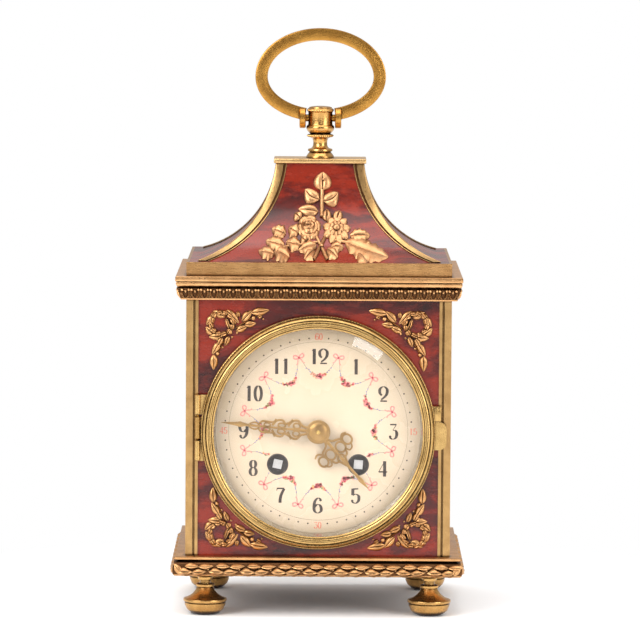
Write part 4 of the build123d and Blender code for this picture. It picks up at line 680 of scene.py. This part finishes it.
for side in (-1, 1):
    for level, centre_z in ((1, 130.2), (-1, 36.2)):
        def place(u, v, h, side=side, level=level, centre_z=centre_z):
            x = -42.7 + (u - 485) * CROP_STEP
            z = (385 - v) * CROP_STEP
            return (-side * x if side > 0 else x, FRONT_SKIN - h, centre_z + level * z)

        strand(form, place, oval(485, 400, 170, 170, 48, 1), 66, 1.0)
        for root, tip, wide in wreath_leaves:
            leaf(form, place, root, tip, wide * 1.4, 1.0, lift=0.3, fold=0.3)
        for i in range(12):
            angle = 2 * math.pi * i / 12
            root = (485 + 165 * math.cos(angle), 400 + 165 * math.sin(angle))
            tip = (485 + 190 * math.cos(angle + 0.62), 400 + 190 * math.sin(angle + 0.62))
            leaf(form, place, root, tip, 92, 1.2, lift=0.5, rows=7)
        for u, v, size in wreath_beads:
            bead(form, place(u, v, 0.5), size * 0.022, detail=2)
        bead(form, place(615, 535, 0.7), 1.1, (1, 0.7, 1), 2)
        strand(form, place, [(700 + 60 * i, 470 - 38 * i) for i in range(7)], 34, 1.0)
        strand(form, place, [(560 - 32 * i, 600 + 60 * i) for i in range(7)], 34, 1.0)
piece = finish_piece("wreaths_cast", form, wreath_gilt, "case", 60)
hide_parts("wreath_mounts")

# Bezel
# A turned brass ring: fine milling at the rim, a bright half round, a wide lathe-cut band, and
# a sloping inner edge that holds the glass. Its knuckles and its thumb tab are one with it.

DIAL_LEVEL = 82.0
BEZEL_FACE = -55.1
bezel_brass = metal("bezel brass", (202, 166, 106), (154, 118, 66), 0.27, (70, 46, 24), 1.1)
form = bmesh.new()
outline = [
    (45.9, -1.3), (45.9, -0.7), (46.2, -0.35), (46.6, -0.25), (46.75, -0.5), (46.9, -0.5), (47.1, -0.2),
    (47.5, -0.05), (47.6, -0.2), (47.7, -0.02), (48.2, 0.0), (48.3, -0.15), (48.4, -0.02), (48.9, -0.1),
    (49.2, -0.35), (49.3, -0.9), (49.5, -0.95), (49.65, -0.5), (50.1, -0.4), (50.6, -0.8),
    (50.8, -1.5), (50.9, -2.0), (51.1, -1.8), (51.4, -1.9), (51.6, -2.3), (51.6, -4.6), (47.5, -4.6),
    (47.5, -1.3), (45.9, -1.3),
]
turned(form, [(r, -h) for r, h in outline], (0, BEZEL_FACE, DIAL_LEVEL), (0, 1, 0), 192)
for x, z in oval(0, DIAL_LEVEL, 51.2, 51.2, 240):
    bead(form, (x, BEZEL_FACE + 2.05, z), 0.42)
HINGE = (-53.0, -51.8)
for low, high in ((69.2, 78.3), (89.7, 98.4)):
    knuckle = [(0, low), (1.0, low), (1.3, low + 0.25), (1.3, high - 0.25), (1.0, high), (0, high)]
    turned(form, knuckle, (HINGE[0], HINGE[1], 0), (0, 0, 1), 24)
    block(form, (5.0, 1.0, high - low), (HINGE[0] + 3.0, HINGE[1], (low + high) / 2))
made = block(form, (4.0, 2.4, 6.8), (52.0, -51.7, 90.6))
around = [edge for edge in form.edges if all(vert in made for vert in edge.verts)]
bmesh.ops.bevel(form, geom=around, offset=0.4, segments=2, profile=0.5, affect="EDGES")
made = block(form, (6.4, 1.9, 12.4), (53.2, -52.0, 80.9))
outer = [e for e in form.edges if all(v in made and v.co.x > 55 for v in e.verts) and
         abs(e.verts[0].co.y - e.verts[1].co.y) > 1]
bmesh.ops.bevel(form, geom=outer, offset=3.4, segments=8, profile=0.5, affect="EDGES")
piece = finish_piece("bezel_turned", form, bezel_brass, "bezel", 42)
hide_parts("bezel_ring")

# Glass
# Flat glass with a broad ground bevel, held in the bezel from behind. The ring behind it is
# silvered, and its edge outside the bezel is plain brass.


def clear_glass():
    material, tree, shader = blank("bevelled glass")
    tree.nodes.remove(shader)
    smear = fit(tree, grain(tree, 60, 3), 0.3, 0.7, 0.01, 0.035)
    clear = node(tree, "ShaderNodeBsdfTransparent", {"Color": (1.0, 0.998, 0.99, 1)}).outputs[0]
    shine = node(tree, "ShaderNodeBsdfGlossy", {"Roughness": smear}).outputs[0]
    edge = node(tree, "ShaderNodeFresnel", {"IOR": 1.5}).outputs[0]
    inner = node(tree, "ShaderNodeNewGeometry").outputs["Backfacing"]
    share = mix(tree, inner, edge, (0, 0, 0, 1))
    both = node(tree, "ShaderNodeMixShader", {0: share, 1: clear, 2: shine}).outputs[0]
    tree.links.new(both, tree.nodes["Material Output"].inputs["Surface"])
    return material


form = bmesh.new()
outline = [(0, 0.7), (41.4, 0.7), (45.6, 1.3), (47.4, 1.3), (47.4, 2.7), (0, 2.7)]
turned(form, outline, (0, BEZEL_FACE, DIAL_LEVEL), (0, 1, 0), 144)
piece = finish_piece("glass_bevelled", form, clear_glass(), "bezel", 3)
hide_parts("bezel_glass")
silver = metal("silvered brass", (200, 196, 186), (150, 144, 134), 0.2, (60, 54, 46), 0.8)
shader = silver.node_tree.nodes["Principled BSDF"]
tree = silver.node_tree
where = node(tree, "ShaderNodeTexCoord").outputs["Object"]
across = node(tree, "ShaderNodeSeparateXYZ", {0: where}).outputs[0]
outside = fit(tree, across, -0.0512, -0.0508, 1.0, 0.0)
# This colour holds the metal's wear and its painted recess shade.
worn_and_shaded = shader.inputs["Base Color"].links[0].from_socket
both = mix(tree, outside, worn_and_shaded, srgb(168, 130, 76))
tree.links.new(both, shader.inputs["Base Color"])
dress(silver, "dial_surround")

# Dial
# Copper enamelled cream, flat with a falling rim, with a hole at the centre and two winding
# holes that have steel-grey collars. The figures and the garlands are fired on in thin colour.

DIAL_FACE = -45.8


def enamel():
    material, tree, shader = blank("cream enamel")
    cloud = grain(tree, 40, 3)
    speck = grain(tree, 1500, 2)
    colour = mix(tree, fit(tree, cloud, 0.35, 0.65), srgb(203, 184, 160), srgb(198, 178, 152))
    colour = mix(tree, fit(tree, speck, 0.76, 0.82, 0, 0.5), colour, srgb(150, 128, 104))
    coat(tree, shader, colour, fit(tree, cloud, 0.3, 0.7, 0.22, 0.32), cloud, 0.08)
    shader.inputs["Coat Weight"].default_value = 0.3
    return material


FLAT = 38.0


def dome(u, v):
    """How far the dial's face falls back at a place, in millimetres."""
    return 0.75 * max(0.0, (math.hypot(u, v) - FLAT) / 8) ** 2


def on_dial(u, v, h=0.0):
    return (u, DIAL_FACE + dome(u, v) - h, DIAL_LEVEL + v)


WINDING_HOLES = ((-17.8, -14.8, 4.6), (17.8, -14.8, 4.6))
HOLES = ((0, 0, 2.6), *WINDING_HOLES)
cream = enamel()
form = bmesh.new()
outline = [(r, dome(r, 0)) for r in (FLAT, 39, 40, 41, 42, 43, 44, 45, 45.7)]
outline += [(46.0, 0.85), (46.0, 1.6)]
turned(form, outline, (0, DIAL_FACE, DIAL_LEVEL), (0, 1, 0), 180)
bmesh.ops.remove_doubles(form, verts=form.verts, dist=0.002)
loops = [edge for edge in form.edges
         if edge.is_boundary and all(abs(vert.co.y - DIAL_FACE) < 0.001 for vert in edge.verts)]
for u, v, radius in HOLES:
    ring = [form.verts.new((x, DIAL_FACE, z)) for x, z in oval(u, DIAL_LEVEL + v, radius, radius, 60)]
    loops += [form.edges.new((ring[i], ring[(i + 1) % 60])) for i in range(60)]
bmesh.ops.triangle_fill(form, use_beauty=True, use_dissolve=False, edges=loops)
for u, v, radius in HOLES:
    turned(form, [(radius, 0), (radius, 1.6)], (u, DIAL_FACE, DIAL_LEVEL + v), (0, 1, 0), 60)
piece = finish_piece("dial_enamelled", form, cream, "case", 60)
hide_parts("dial")


def paint(name, red, green, blue, rough=0.35):
    material, tree, shader = blank(name)
    speck = grain(tree, 1800, 3)
    colour = mix(tree, fit(tree, speck, 0.35, 0.65), srgb(red, green, blue),
                 srgb(min(255, red + 26), min(255, green + 26), min(255, blue + 26)))
    coat(tree, shader, colour, fit(tree, speck, 0.3, 0.7, rough, rough + 0.15))
    return material


PAINT = 0.03


def patch(bm, points):
    """A closed flat shape of paint on the dial."""
    bm.faces.new([bm.verts.new(on_dial(u, v, PAINT)) for u, v in points])


def dot(bm, u, v, radius, sides=12, tall=1.0):
    patch(bm, oval(u, v, radius, radius * tall, sides))


def pen(bm, points, thick, thin=None, closed=False):
    """A stroke of paint. With a thin width too, upright parts are thick and level parts thin."""
    left, right = [], []
    last = len(points) - 1
    for i, (u, v) in enumerate(points):
        tu, tv = heading(points, i, closed)
        wide = thick if thin is None else thin + (thick - thin) * abs(tv) ** 1.5
        left.append(bm.verts.new(on_dial(u - tv * wide / 2, v + tu * wide / 2, PAINT)))
        right.append(bm.verts.new(on_dial(u + tv * wide / 2, v - tu * wide / 2, PAINT)))
    for i in range(len(points) if closed else last):
        j = (i + 1) % len(points)
        bm.faces.new((left[i], left[j], right[j], right[i]))


def curve(points, steps=6):
    """Points eased through a list of corners."""
    out = []
    for i in range(len(points) - 1):
        a = points[max(0, i - 1)]
        b, c = points[i], points[i + 1]
        d = points[min(len(points) - 1, i + 2)]
        for k in range(steps):
            t = k / steps
            out.append(tuple(
                0.5 * (2 * b[n] + (c[n] - a[n]) * t + (2 * a[n] - 5 * b[n] + 4 * c[n] - d[n]) * t * t
                       + (3 * b[n] - a[n] - 3 * c[n] + d[n]) * t ** 3) for n in (0, 1)))
    return out + [points[-1]]


# Figures on the dial
# Upright Arabic hours in dark brown with thick stems and hairlines, minute dots on a fine
# circle, and the quarters in small red figures. Each is drawn in a box 6 wide and 10 high.

FIGURES = {
    "0": [("loop", 3, 5, 2.6, 4.9)],
    "1": [("line", (3, 0), (3, 10)), ("thin", (1.5, 8.6), (2.8, 9.9))],
    "2": [("curve", (2.0, 4.3), (0.8, 5.8), (0.8, 8.4), (3, 10), (5.3, 8.4), (5.3, 5.6), (3.9, 3.4),
                    (1.6, 1.5)),
          ("bar", (1.0, 0.6), (5.4, 0.6))],
    "3": [("bar", (1.0, 9.6), (5.2, 9.6)), ("thin", (5.2, 9.6), (2.8, 6.0)),
          ("curve", (2.8, 5.9), (4.6, 5.6), (5.4, 3.4), (4.6, 0.9), (2.6, 0.1), (0.8, 1.2)),
          ("ball", 1.1, 1.7)],
    "4": [("line", (4.2, 0), (4.2, 10)), ("thin", (4.2, 9.8), (0.3, 3.0)),
          ("bar", (0.3, 3.0), (5.9, 3.0)), ("thin", (3.2, 0.1), (5.2, 0.1))],
    "5": [("line", (1.5, 9.7), (1.4, 5.4)), ("bar", (1.4, 9.4), (5.0, 9.6)),
          ("curve", (1.4, 5.3), (3.2, 6.1), (5.2, 4.9), (5.2, 1.9), (3.2, 0.1), (0.9, 1.1)),
          ("ball", 1.1, 1.7)],
    "6": [("curve", (5.0, 8.9), (3.2, 9.9), (1.2, 7.8), (0.6, 4.2), (1.0, 1.4), (2.9, 0.1), (5.0, 1.2),
                    (5.3, 3.2), (4.4, 5.2), (2.7, 5.7), (1.1, 4.2)), ("ball", 4.8, 8.5)],
    "7": [("bar", (0.7, 9.5), (5.5, 9.5)), ("curve", (5.4, 9.4), (3.6, 5.6), (2.9, 2.6), (2.8, 0.1)),
          ("thin", (0.8, 9.6), (0.7, 8.0))],
    "8": [("loop", 3, 7.5, 2.1, 2.4), ("loop", 3, 2.6, 2.5, 2.6)],
    "9": [("curve", (1.0, 1.1), (2.8, 0.1), (4.8, 2.2), (5.4, 5.8), (5.0, 8.6), (3.1, 9.9), (1.0, 8.8),
                    (0.7, 6.8), (1.6, 4.8), (3.3, 4.3), (4.9, 5.8)), ("ball", 1.2, 1.5)],
}


def figure(bm, text, centre, height, boldness=1.25):
    scale = height / 10
    advance = 5.9 if len(text) > 1 else 6
    start = -(len(text) * advance) / 2
    for index, letter in enumerate(text):
        def put(point, index=index):
            return (centre[0] + (start + index * advance + point[0]) * scale,
                    centre[1] + (point[1] - 5) * scale)
        for shape, *rest in FIGURES[letter]:
            if shape == "loop":
                cx, cy, rx, ry = rest
                ring = [put(point) for point in oval(cx, cy, rx * 0.8, ry, 32)]
                pen(bm, ring, boldness * 1.15 * scale, 0.4 * scale, True)
            elif shape == "ball":
                dot(bm, *put(rest), 0.85 * scale)
            elif shape == "curve":
                pen(bm, [put(p) for p in curve(rest)], boldness * 1.15 * scale, 0.45 * scale)
            else:
                wide = {"line": boldness * 1.2, "thin": 0.4, "bar": 0.95}[shape]
                pen(bm, [put(p) for p in rest], wide * scale)


def polar(radius, clockwise):
    turn = math.radians(90 - clockwise)
    return radius * math.cos(turn), radius * math.sin(turn)


ink = paint("dark brown enamel", 40, 26, 20)
red_ink = paint("red enamel", 200, 96, 74)
form = bmesh.new()
for hour in range(1, 13):
    u, v = polar(33.0, hour * 30)
    figure(form, str(hour), (u, v), 6.8, 1.7)
for minute in range(60):
    if minute % 15:
        u, v = polar(41.2, minute * 6)
        dot(form, u, v, 0.36)
pen(form, [polar(39.5, i * 2) for i in range(180)], 0.09, closed=True)
finish_piece("dial_figures", form, ink, "case")
form = bmesh.new()
for text, at in (("60", 0), ("15", 90), ("30", 180), ("45", 270)):
    figure(form, text, polar(41.8, at), 2.9, 1.2)
finish_piece("dial_quarters", form, red_ink, "case")

# Garlands on the dial
# A pink bow stands between each two hours, and a swag of flowers and leaves hangs inward from
# bow to bow. Each colour is one thin layer of enamel.

pink, rosy, green, orange, blue, grey = (bmesh.new() for _ in range(6))
picker = random.Random(4)
for step in range(12):
    bow = 15 + 30 * step
    at = Vector(polar(33.6, bow))
    out = Vector(polar(1, bow))
    side = Vector((out.y, -out.x))
    for hand in (-1, 1):
        loop = curve([tuple(at + side * hand * s + out * o) for s, o in
                      ((0, 0), (0.9, 1.1), (2.0, 1.3), (2.3, 0.3), (1.4, -0.3), (0, 0))], 5)
        pen(pink, loop, 0.55)
        tail = curve([tuple(at + side * hand * s + out * o) for s, o in
                      ((0, 0), (0.7, -1.0), (1.1, -2.2), (1.9, -2.9))], 5)
        pen(pink, tail, 0.42)
    dot(rosy, at.x, at.y, 0.5)
    swag = []
    for k in range(21):
        t = k / 20
        deep = 32.6 - 8.4 * math.sin(math.pi * t) ** 0.62
        swag.append(polar(deep, bow + 1.6 + (30 - 3.2) * t))
    clear = [all(math.hypot(u - hu, v - hv) > radius + 0.8 for hu, hv, radius in HOLES) for u, v in swag]
    for k in range(20):
        if clear[k] and clear[k + 1]:
            pen(green if 4 < k < 15 else grey, swag[k:k + 2], 0.45 if 4 < k < 15 else 0.2)
    for k, (u, v) in enumerate(swag):
        near = abs(k - 10)
        if not clear[k]:
            continue
        if 5 < near < 9:
            dot(blue, u + picker.uniform(-0.3, 0.3), v + picker.uniform(-0.3, 0.3), 0.3, 8)
        if near < 6:
            for n in range(3):
                spread = 1.0 - near * 0.1
                du, dv = picker.uniform(-spread, spread), picker.uniform(-spread, spread)
                colour = picker.choice([pink, green, orange, green, pink, rosy])
                dot(colour, u + du, v + dv, picker.uniform(0.3, 0.6), 8, picker.uniform(0.7, 1.3))
        if near == 0:
            dot(pink, u, v, 1.15, 12)
            dot(pink, u + 1.2, v + 0.2, 0.8, 10)
            dot(rosy, u + 0.2, v, 0.4, 10)
layers = (
    ("grey", grey, (126, 116, 108)), ("green", green, (112, 122, 66)),
    ("orange", orange, (192, 128, 70)), ("blue", blue, (104, 104, 148)),
    ("pink", pink, (204, 112, 108)), ("rose", rosy, (164, 52, 62)),
)
for index, (label, form, tint) in enumerate(layers):
    for vert in form.verts:
        vert.co.y -= 0.006 * (index + 1)
    finish_piece(f"dial_garland_{label}", form, paint(f"{label} enamel", *tint), "case")

# Winding holes
# Each hole has a dark steel-grey collar, and the squared end of a winding arbor shows in it.

collar_dark = metal("dark collar", (96, 88, 84), (58, 52, 50), 0.35, (20, 18, 18), 1.0)
form = bmesh.new()
for u, v, radius in WINDING_HOLES:
    turned(form, [(radius + 0.15, 0.0), (4.7, 0.12), (4.4, 0.16), (4.2, 0.05)],
           (u, DIAL_FACE, DIAL_LEVEL + v), (0, -1, 0), 48)
finish_piece("dial_collars", form, collar_dark, "case")
hole_dark = metal("hole shade", (74, 68, 66), (50, 46, 44), 0.5)
form = bmesh.new()
for u, v, radius in WINDING_HOLES:
    turned(form, [(1.95, -1.3), (4.5, -1.3), (4.55, -0.2), (4.55, -1.35), (1.95, -1.35)],
           (u, DIAL_FACE, DIAL_LEVEL + v), (0, -1, 0), 48)
finish_piece("dial_hole_shade", form, hole_dark, "case")
square_steel = metal("square steel", (206, 204, 204), (164, 162, 162), 0.5, None)
dress(square_steel, "going_arbor", "strike_arbor")

# Hands
# Both are pierced and chased in thin gilded brass. The minute hand has a lozenge of scrolls and
# a long blade; the hour hand has a cluster of open loops and a short point.

hand_gilt = metal("hand gilt", (176, 140, 88), (122, 90, 50), 0.4, None)


def hand_place(face, clockwise):
    """place(u, v, h) for a hand: u along it, v across it, h towards the glass."""
    turn = math.radians(90 - clockwise)

    def place(u, v, h):
        x = u * math.cos(turn) - v * math.sin(turn)
        z = u * math.sin(turn) + v * math.cos(turn)
        return (x, face - h, DIAL_LEVEL + z)
    return place


def wire(bm, place, points, width, height=0.42):
    """A flat strip with rounded edges, closed all round, for pierced work."""
    section = ((-0.5, 0.0), (-0.5, 0.6), (-0.3, 1.0), (0.3, 1.0), (0.5, 0.6), (0.5, 0.0))
    rings = strand(bm, place, points, width, height, section, True)
    bm.faces.new(rings[0])
    bm.faces.new(rings[-1])


def scrolls(bm, place, side, lines):
    """Curved wires, each a width and its points, laid on one side of the hand."""
    for width, *points in lines:
        wire(bm, place, curve([(u, side * v) for u, v in points]), width)


HOUR_FACE = -47.7
form = bmesh.new()
place = hand_place(HOUR_FACE, 138.5)
turned(form, [(2.0, 0), (4.4, 0), (4.4, 0.4), (4.2, 0.5), (2.0, 0.5), (2.0, 0)],
       (0, HOUR_FACE, DIAL_LEVEL), (0, -1, 0), 48)
HOUR_LOOPS = ((11.7, -7.0, 2.3, 2.0), (11.3, -2.6, 2.4, 2.1), (11.6, 3.0, 2.4, 2.1),
              (10.8, 7.4, 2.3, 2.0))
for u, v, ru, rv in HOUR_LOOPS:
    wire(form, place, oval(u, v, ru, rv, 24, 1), 0.9)
for side in (-1, 1):
    scrolls(form, place, side, (
        (0.9, (4.2, 0.6), (7.0, 1.6), (8.6, 4.8), (10.2, 5.0)),
        (0.8, (8.4, 9.0), (7.6, 7.2), (8.8, 5.6), (10.0, 5.4)),
        (0.7, (13.2, 7.6), (14.8, 6.8), (15.2, 5.2), (13.6, 4.4)),
        (0.9, (13.4, 4.2), (15.6, 3.2), (16.4, 1.6), (19.4, 0.5)),
        (0.8, (13.6, 0.2), (15.0, 1.6), (16.2, 1.2)),
    ))
wire(form, place, [(4, 0), (8, 0), (13.6, 0), (18, 0), (21, 0), (26, 0), (28.5, 0), (33.6, 0)],
     [2.0, 1.2, 1.0, 1.8, 1.2, 1.2, 2.0, 0.2])
piece = finish_piece("hour_hand_pierced", form, hand_gilt, "hour_wheel", 30)
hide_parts("hour_hand")
MINUTE_FACE = -49.4
form = bmesh.new()
place = hand_place(MINUTE_FACE, 275.4)
turned(form, [(0.9, 0), (5.2, 0), (5.3, 0.25), (5.0, 0.5), (4.2, 0.5), (3.9, 0.8), (2.4, 1.3),
              (0.9, 1.4), (0.9, 0)], (0, MINUTE_FACE, DIAL_LEVEL), (0, -1, 0), 48)
MINUTE_LOOPS = ((9.6, 1.7, 1.5, 1.2, 0.8), (16.2, 1.3, 1.6, 1.0, 0.8), (22.6, 1.0, 1.4, 0.8, 0.7))
for side in (-1, 1):
    scrolls(form, place, side, (
        (1.0, (5.0, 1.4), (7.5, 2.2), (9.2, 4.0), (11.6, 3.6), (13.4, 1.2)),
        (1.0, (11.6, 4.4), (12.4, 3.2), (14.6, 2.2), (16.0, 3.5), (18.6, 3.2), (20.4, 0.9)),
        (0.9, (18.8, 3.9), (20.0, 2.4), (22.6, 2.4), (25.0, 2.3), (26.6, 0.6)),
        (0.7, (26.0, 0.5), (27.6, 1.5), (29.6, 1.1), (31.0, 0)),
    ))
    for u, v, ru, rv, width in MINUTE_LOOPS:
        wire(form, place, oval(u, side * v, ru, rv, 24, 1), width)
wire(form, place, [(5, 0), (13, 0), (20, 0), (27, 0), (32, 0), (34.5, 0), (37, 0), (42.9, 0)],
     [1.4, 0.9, 0.9, 1.0, 1.2, 2.5, 1.5, 0.2])
piece = finish_piece("minute_hand_pierced", form, hand_gilt, "minute_arbor", 30)
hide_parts("minute_hand")

# Movement
# Brass plates and pillars, brass wheels cut on steel arbors, and a bell of bell metal. They
# are seen when the back door is open.

movement_brass = metal("movement brass", (222, 186, 112), (180, 138, 70), 0.24, (80, 54, 26), 1.2)
bell_metal = metal("bell metal", (226, 196, 140), (170, 134, 84), 0.16, (80, 56, 32), 2.0,
                   (1, 4, 1))
dress(movement_brass, "dial_plate", "front_plate", "back_plate", "pillars", "movement_straps",
      "going_barrel", "strike_barrel", "centre_wheel", "minute_wheel", "hour_wheel",
      "intermediate_wheel", "third_wheel", "contrate_wheel", "escapement_platform", "balance",
      "strike_second_wheel", "pin_wheel")
dress(steel, "cannon_pinion", "fly", "bell_stand", "hammer")
dress(bell_metal, "bell")

# Back door and its ring
# A round brass door with a raised rim closes a flanged brass ring at the back. Both are turned,
# and the door hangs on a hinge.

dress(turned_brass, "rear_ring", "back_door")

# Floor, light and camera
# A pale floor under a white surround, soft boxes above and at both sides.


def floor_paper():
    """Pale paper that turns to plain white away from the clock, for the camera only."""
    material, tree, shader = blank("pale paper")
    fibre = grain(tree, 300, 4)
    colour = mix(tree, fibre, (0.86, 0.86, 0.86, 1), (0.9, 0.9, 0.9, 1))
    tree.links.new(colour, shader.inputs["Base Color"])
    shader.inputs["Roughness"].default_value = 0.8
    shader.inputs["Specular IOR Level"].default_value = 0.1
    where = node(tree, "ShaderNodeTexCoord").outputs["Object"]
    away = node(tree, "ShaderNodeVectorMath", {0: where}, operation="LENGTH").outputs["Value"]
    far = fit(tree, away, 0.07, 0.22)
    camera_ray = node(tree, "ShaderNodeLightPath").outputs["Is Camera Ray"]
    share = times(tree, far, camera_ray)
    plain = node(tree, "ShaderNodeEmission", {"Color": (1, 1, 1, 1), "Strength": 1.0}).outputs[0]
    both = node(tree, "ShaderNodeMixShader", {0: share, 1: shader.outputs[0], 2: plain}).outputs[0]
    tree.links.new(both, tree.nodes["Material Output"].inputs["Surface"])
    return material


form = bmesh.new()
made = bmesh.ops.create_grid(form, x_segments=2, y_segments=2, size=2.5)
mesh = bpy.data.meshes.new("floor")
form.to_mesh(mesh)
form.free()
floor = bpy.data.objects.new("floor", mesh)
SCENE.objects.link(floor)
mesh.materials.append(floor_paper())

world = bpy.data.worlds.new("studio")
bpy.context.scene.world = world
world.use_nodes = True
tree = world.node_tree
tree.nodes.clear()
path = node(tree, "ShaderNodeLightPath").outputs
white = node(tree, "ShaderNodeBackground", {"Color": (1, 1, 1, 1), "Strength": 1.0}).outputs[0]
direction = node(tree, "ShaderNodeTexCoord").outputs["Generated"]
depth = node(tree, "ShaderNodeSeparateXYZ", {0: direction}).outputs
ahead = fit(tree, depth[1], -1.0, 0.4, 0.3, 0.8)
above = fit(tree, depth[2], -0.3, 0.9, 0.35, 1.25)
room = times(tree, ahead, above)
shine = node(tree, "ShaderNodeBackground", {"Color": (1, 0.98, 0.95, 1), "Strength": room}).outputs[0]
soft = node(tree, "ShaderNodeBackground", {"Color": (1, 1, 1, 1), "Strength": 0.8}).outputs[0]
lit = node(tree, "ShaderNodeMixShader", {0: path["Is Glossy Ray"], 1: soft, 2: shine}).outputs[0]
seen = node(tree, "ShaderNodeMixShader", {0: path["Is Camera Ray"], 1: lit, 2: white}).outputs[0]
out = node(tree, "ShaderNodeOutputWorld")
tree.links.new(seen, out.inputs["Surface"])


def soft_box(name, position, target, size, power):
    lamp = bpy.data.lights.new(name, "AREA")
    lamp.shape = "RECTANGLE"
    lamp.size, lamp.size_y = size
    lamp.energy = power
    holder = bpy.data.objects.new(name, lamp)
    SCENE.objects.link(holder)
    aim = (Vector(target) - Vector(position)).to_track_quat("-Z", "Y")
    holder.matrix_world = Matrix.Translation(position) @ aim.to_matrix().to_4x4()
    return holder


soft_box("key", (-0.75, -0.85, 0.75), (0, 0, 0.12), (0.7, 0.9), 15)
soft_box("fill", (0.95, -0.85, 0.55), (0, 0, 0.12), (0.6, 0.9), 9)
soft_box("top", (0, -0.1, 1.1), (0, 0, 0.1), (1.1, 0.9), 9)
glint = soft_box("glass glint", (0.148, -0.93, 0.246), (0.022, -0.055, 0.118), (0.1, 0.055), 0.17)
glint.rotation_euler.rotate_axis("Z", math.radians(-30))

CAMERA_ROLL = math.radians(0.4)
lens = bpy.data.cameras.new("camera")
lens.lens = 268.75
lens.sensor_width = 36.0
lens.clip_start = 0.1
lens.clip_end = 20
camera = bpy.data.objects.new("camera", lens)
SCENE.objects.link(camera)
eye = EYE * MM
aim = (Vector((0.00045, 0, 0.1273)) - eye).to_track_quat("-Z", "Y")
camera.matrix_world = (Matrix.Translation(eye) @ aim.to_matrix().to_4x4()
                       @ Matrix.Rotation(CAMERA_ROLL, 4, "Z"))
bpy.context.scene.camera = camera
bpy.context.scene.view_settings.view_transform = "Standard"
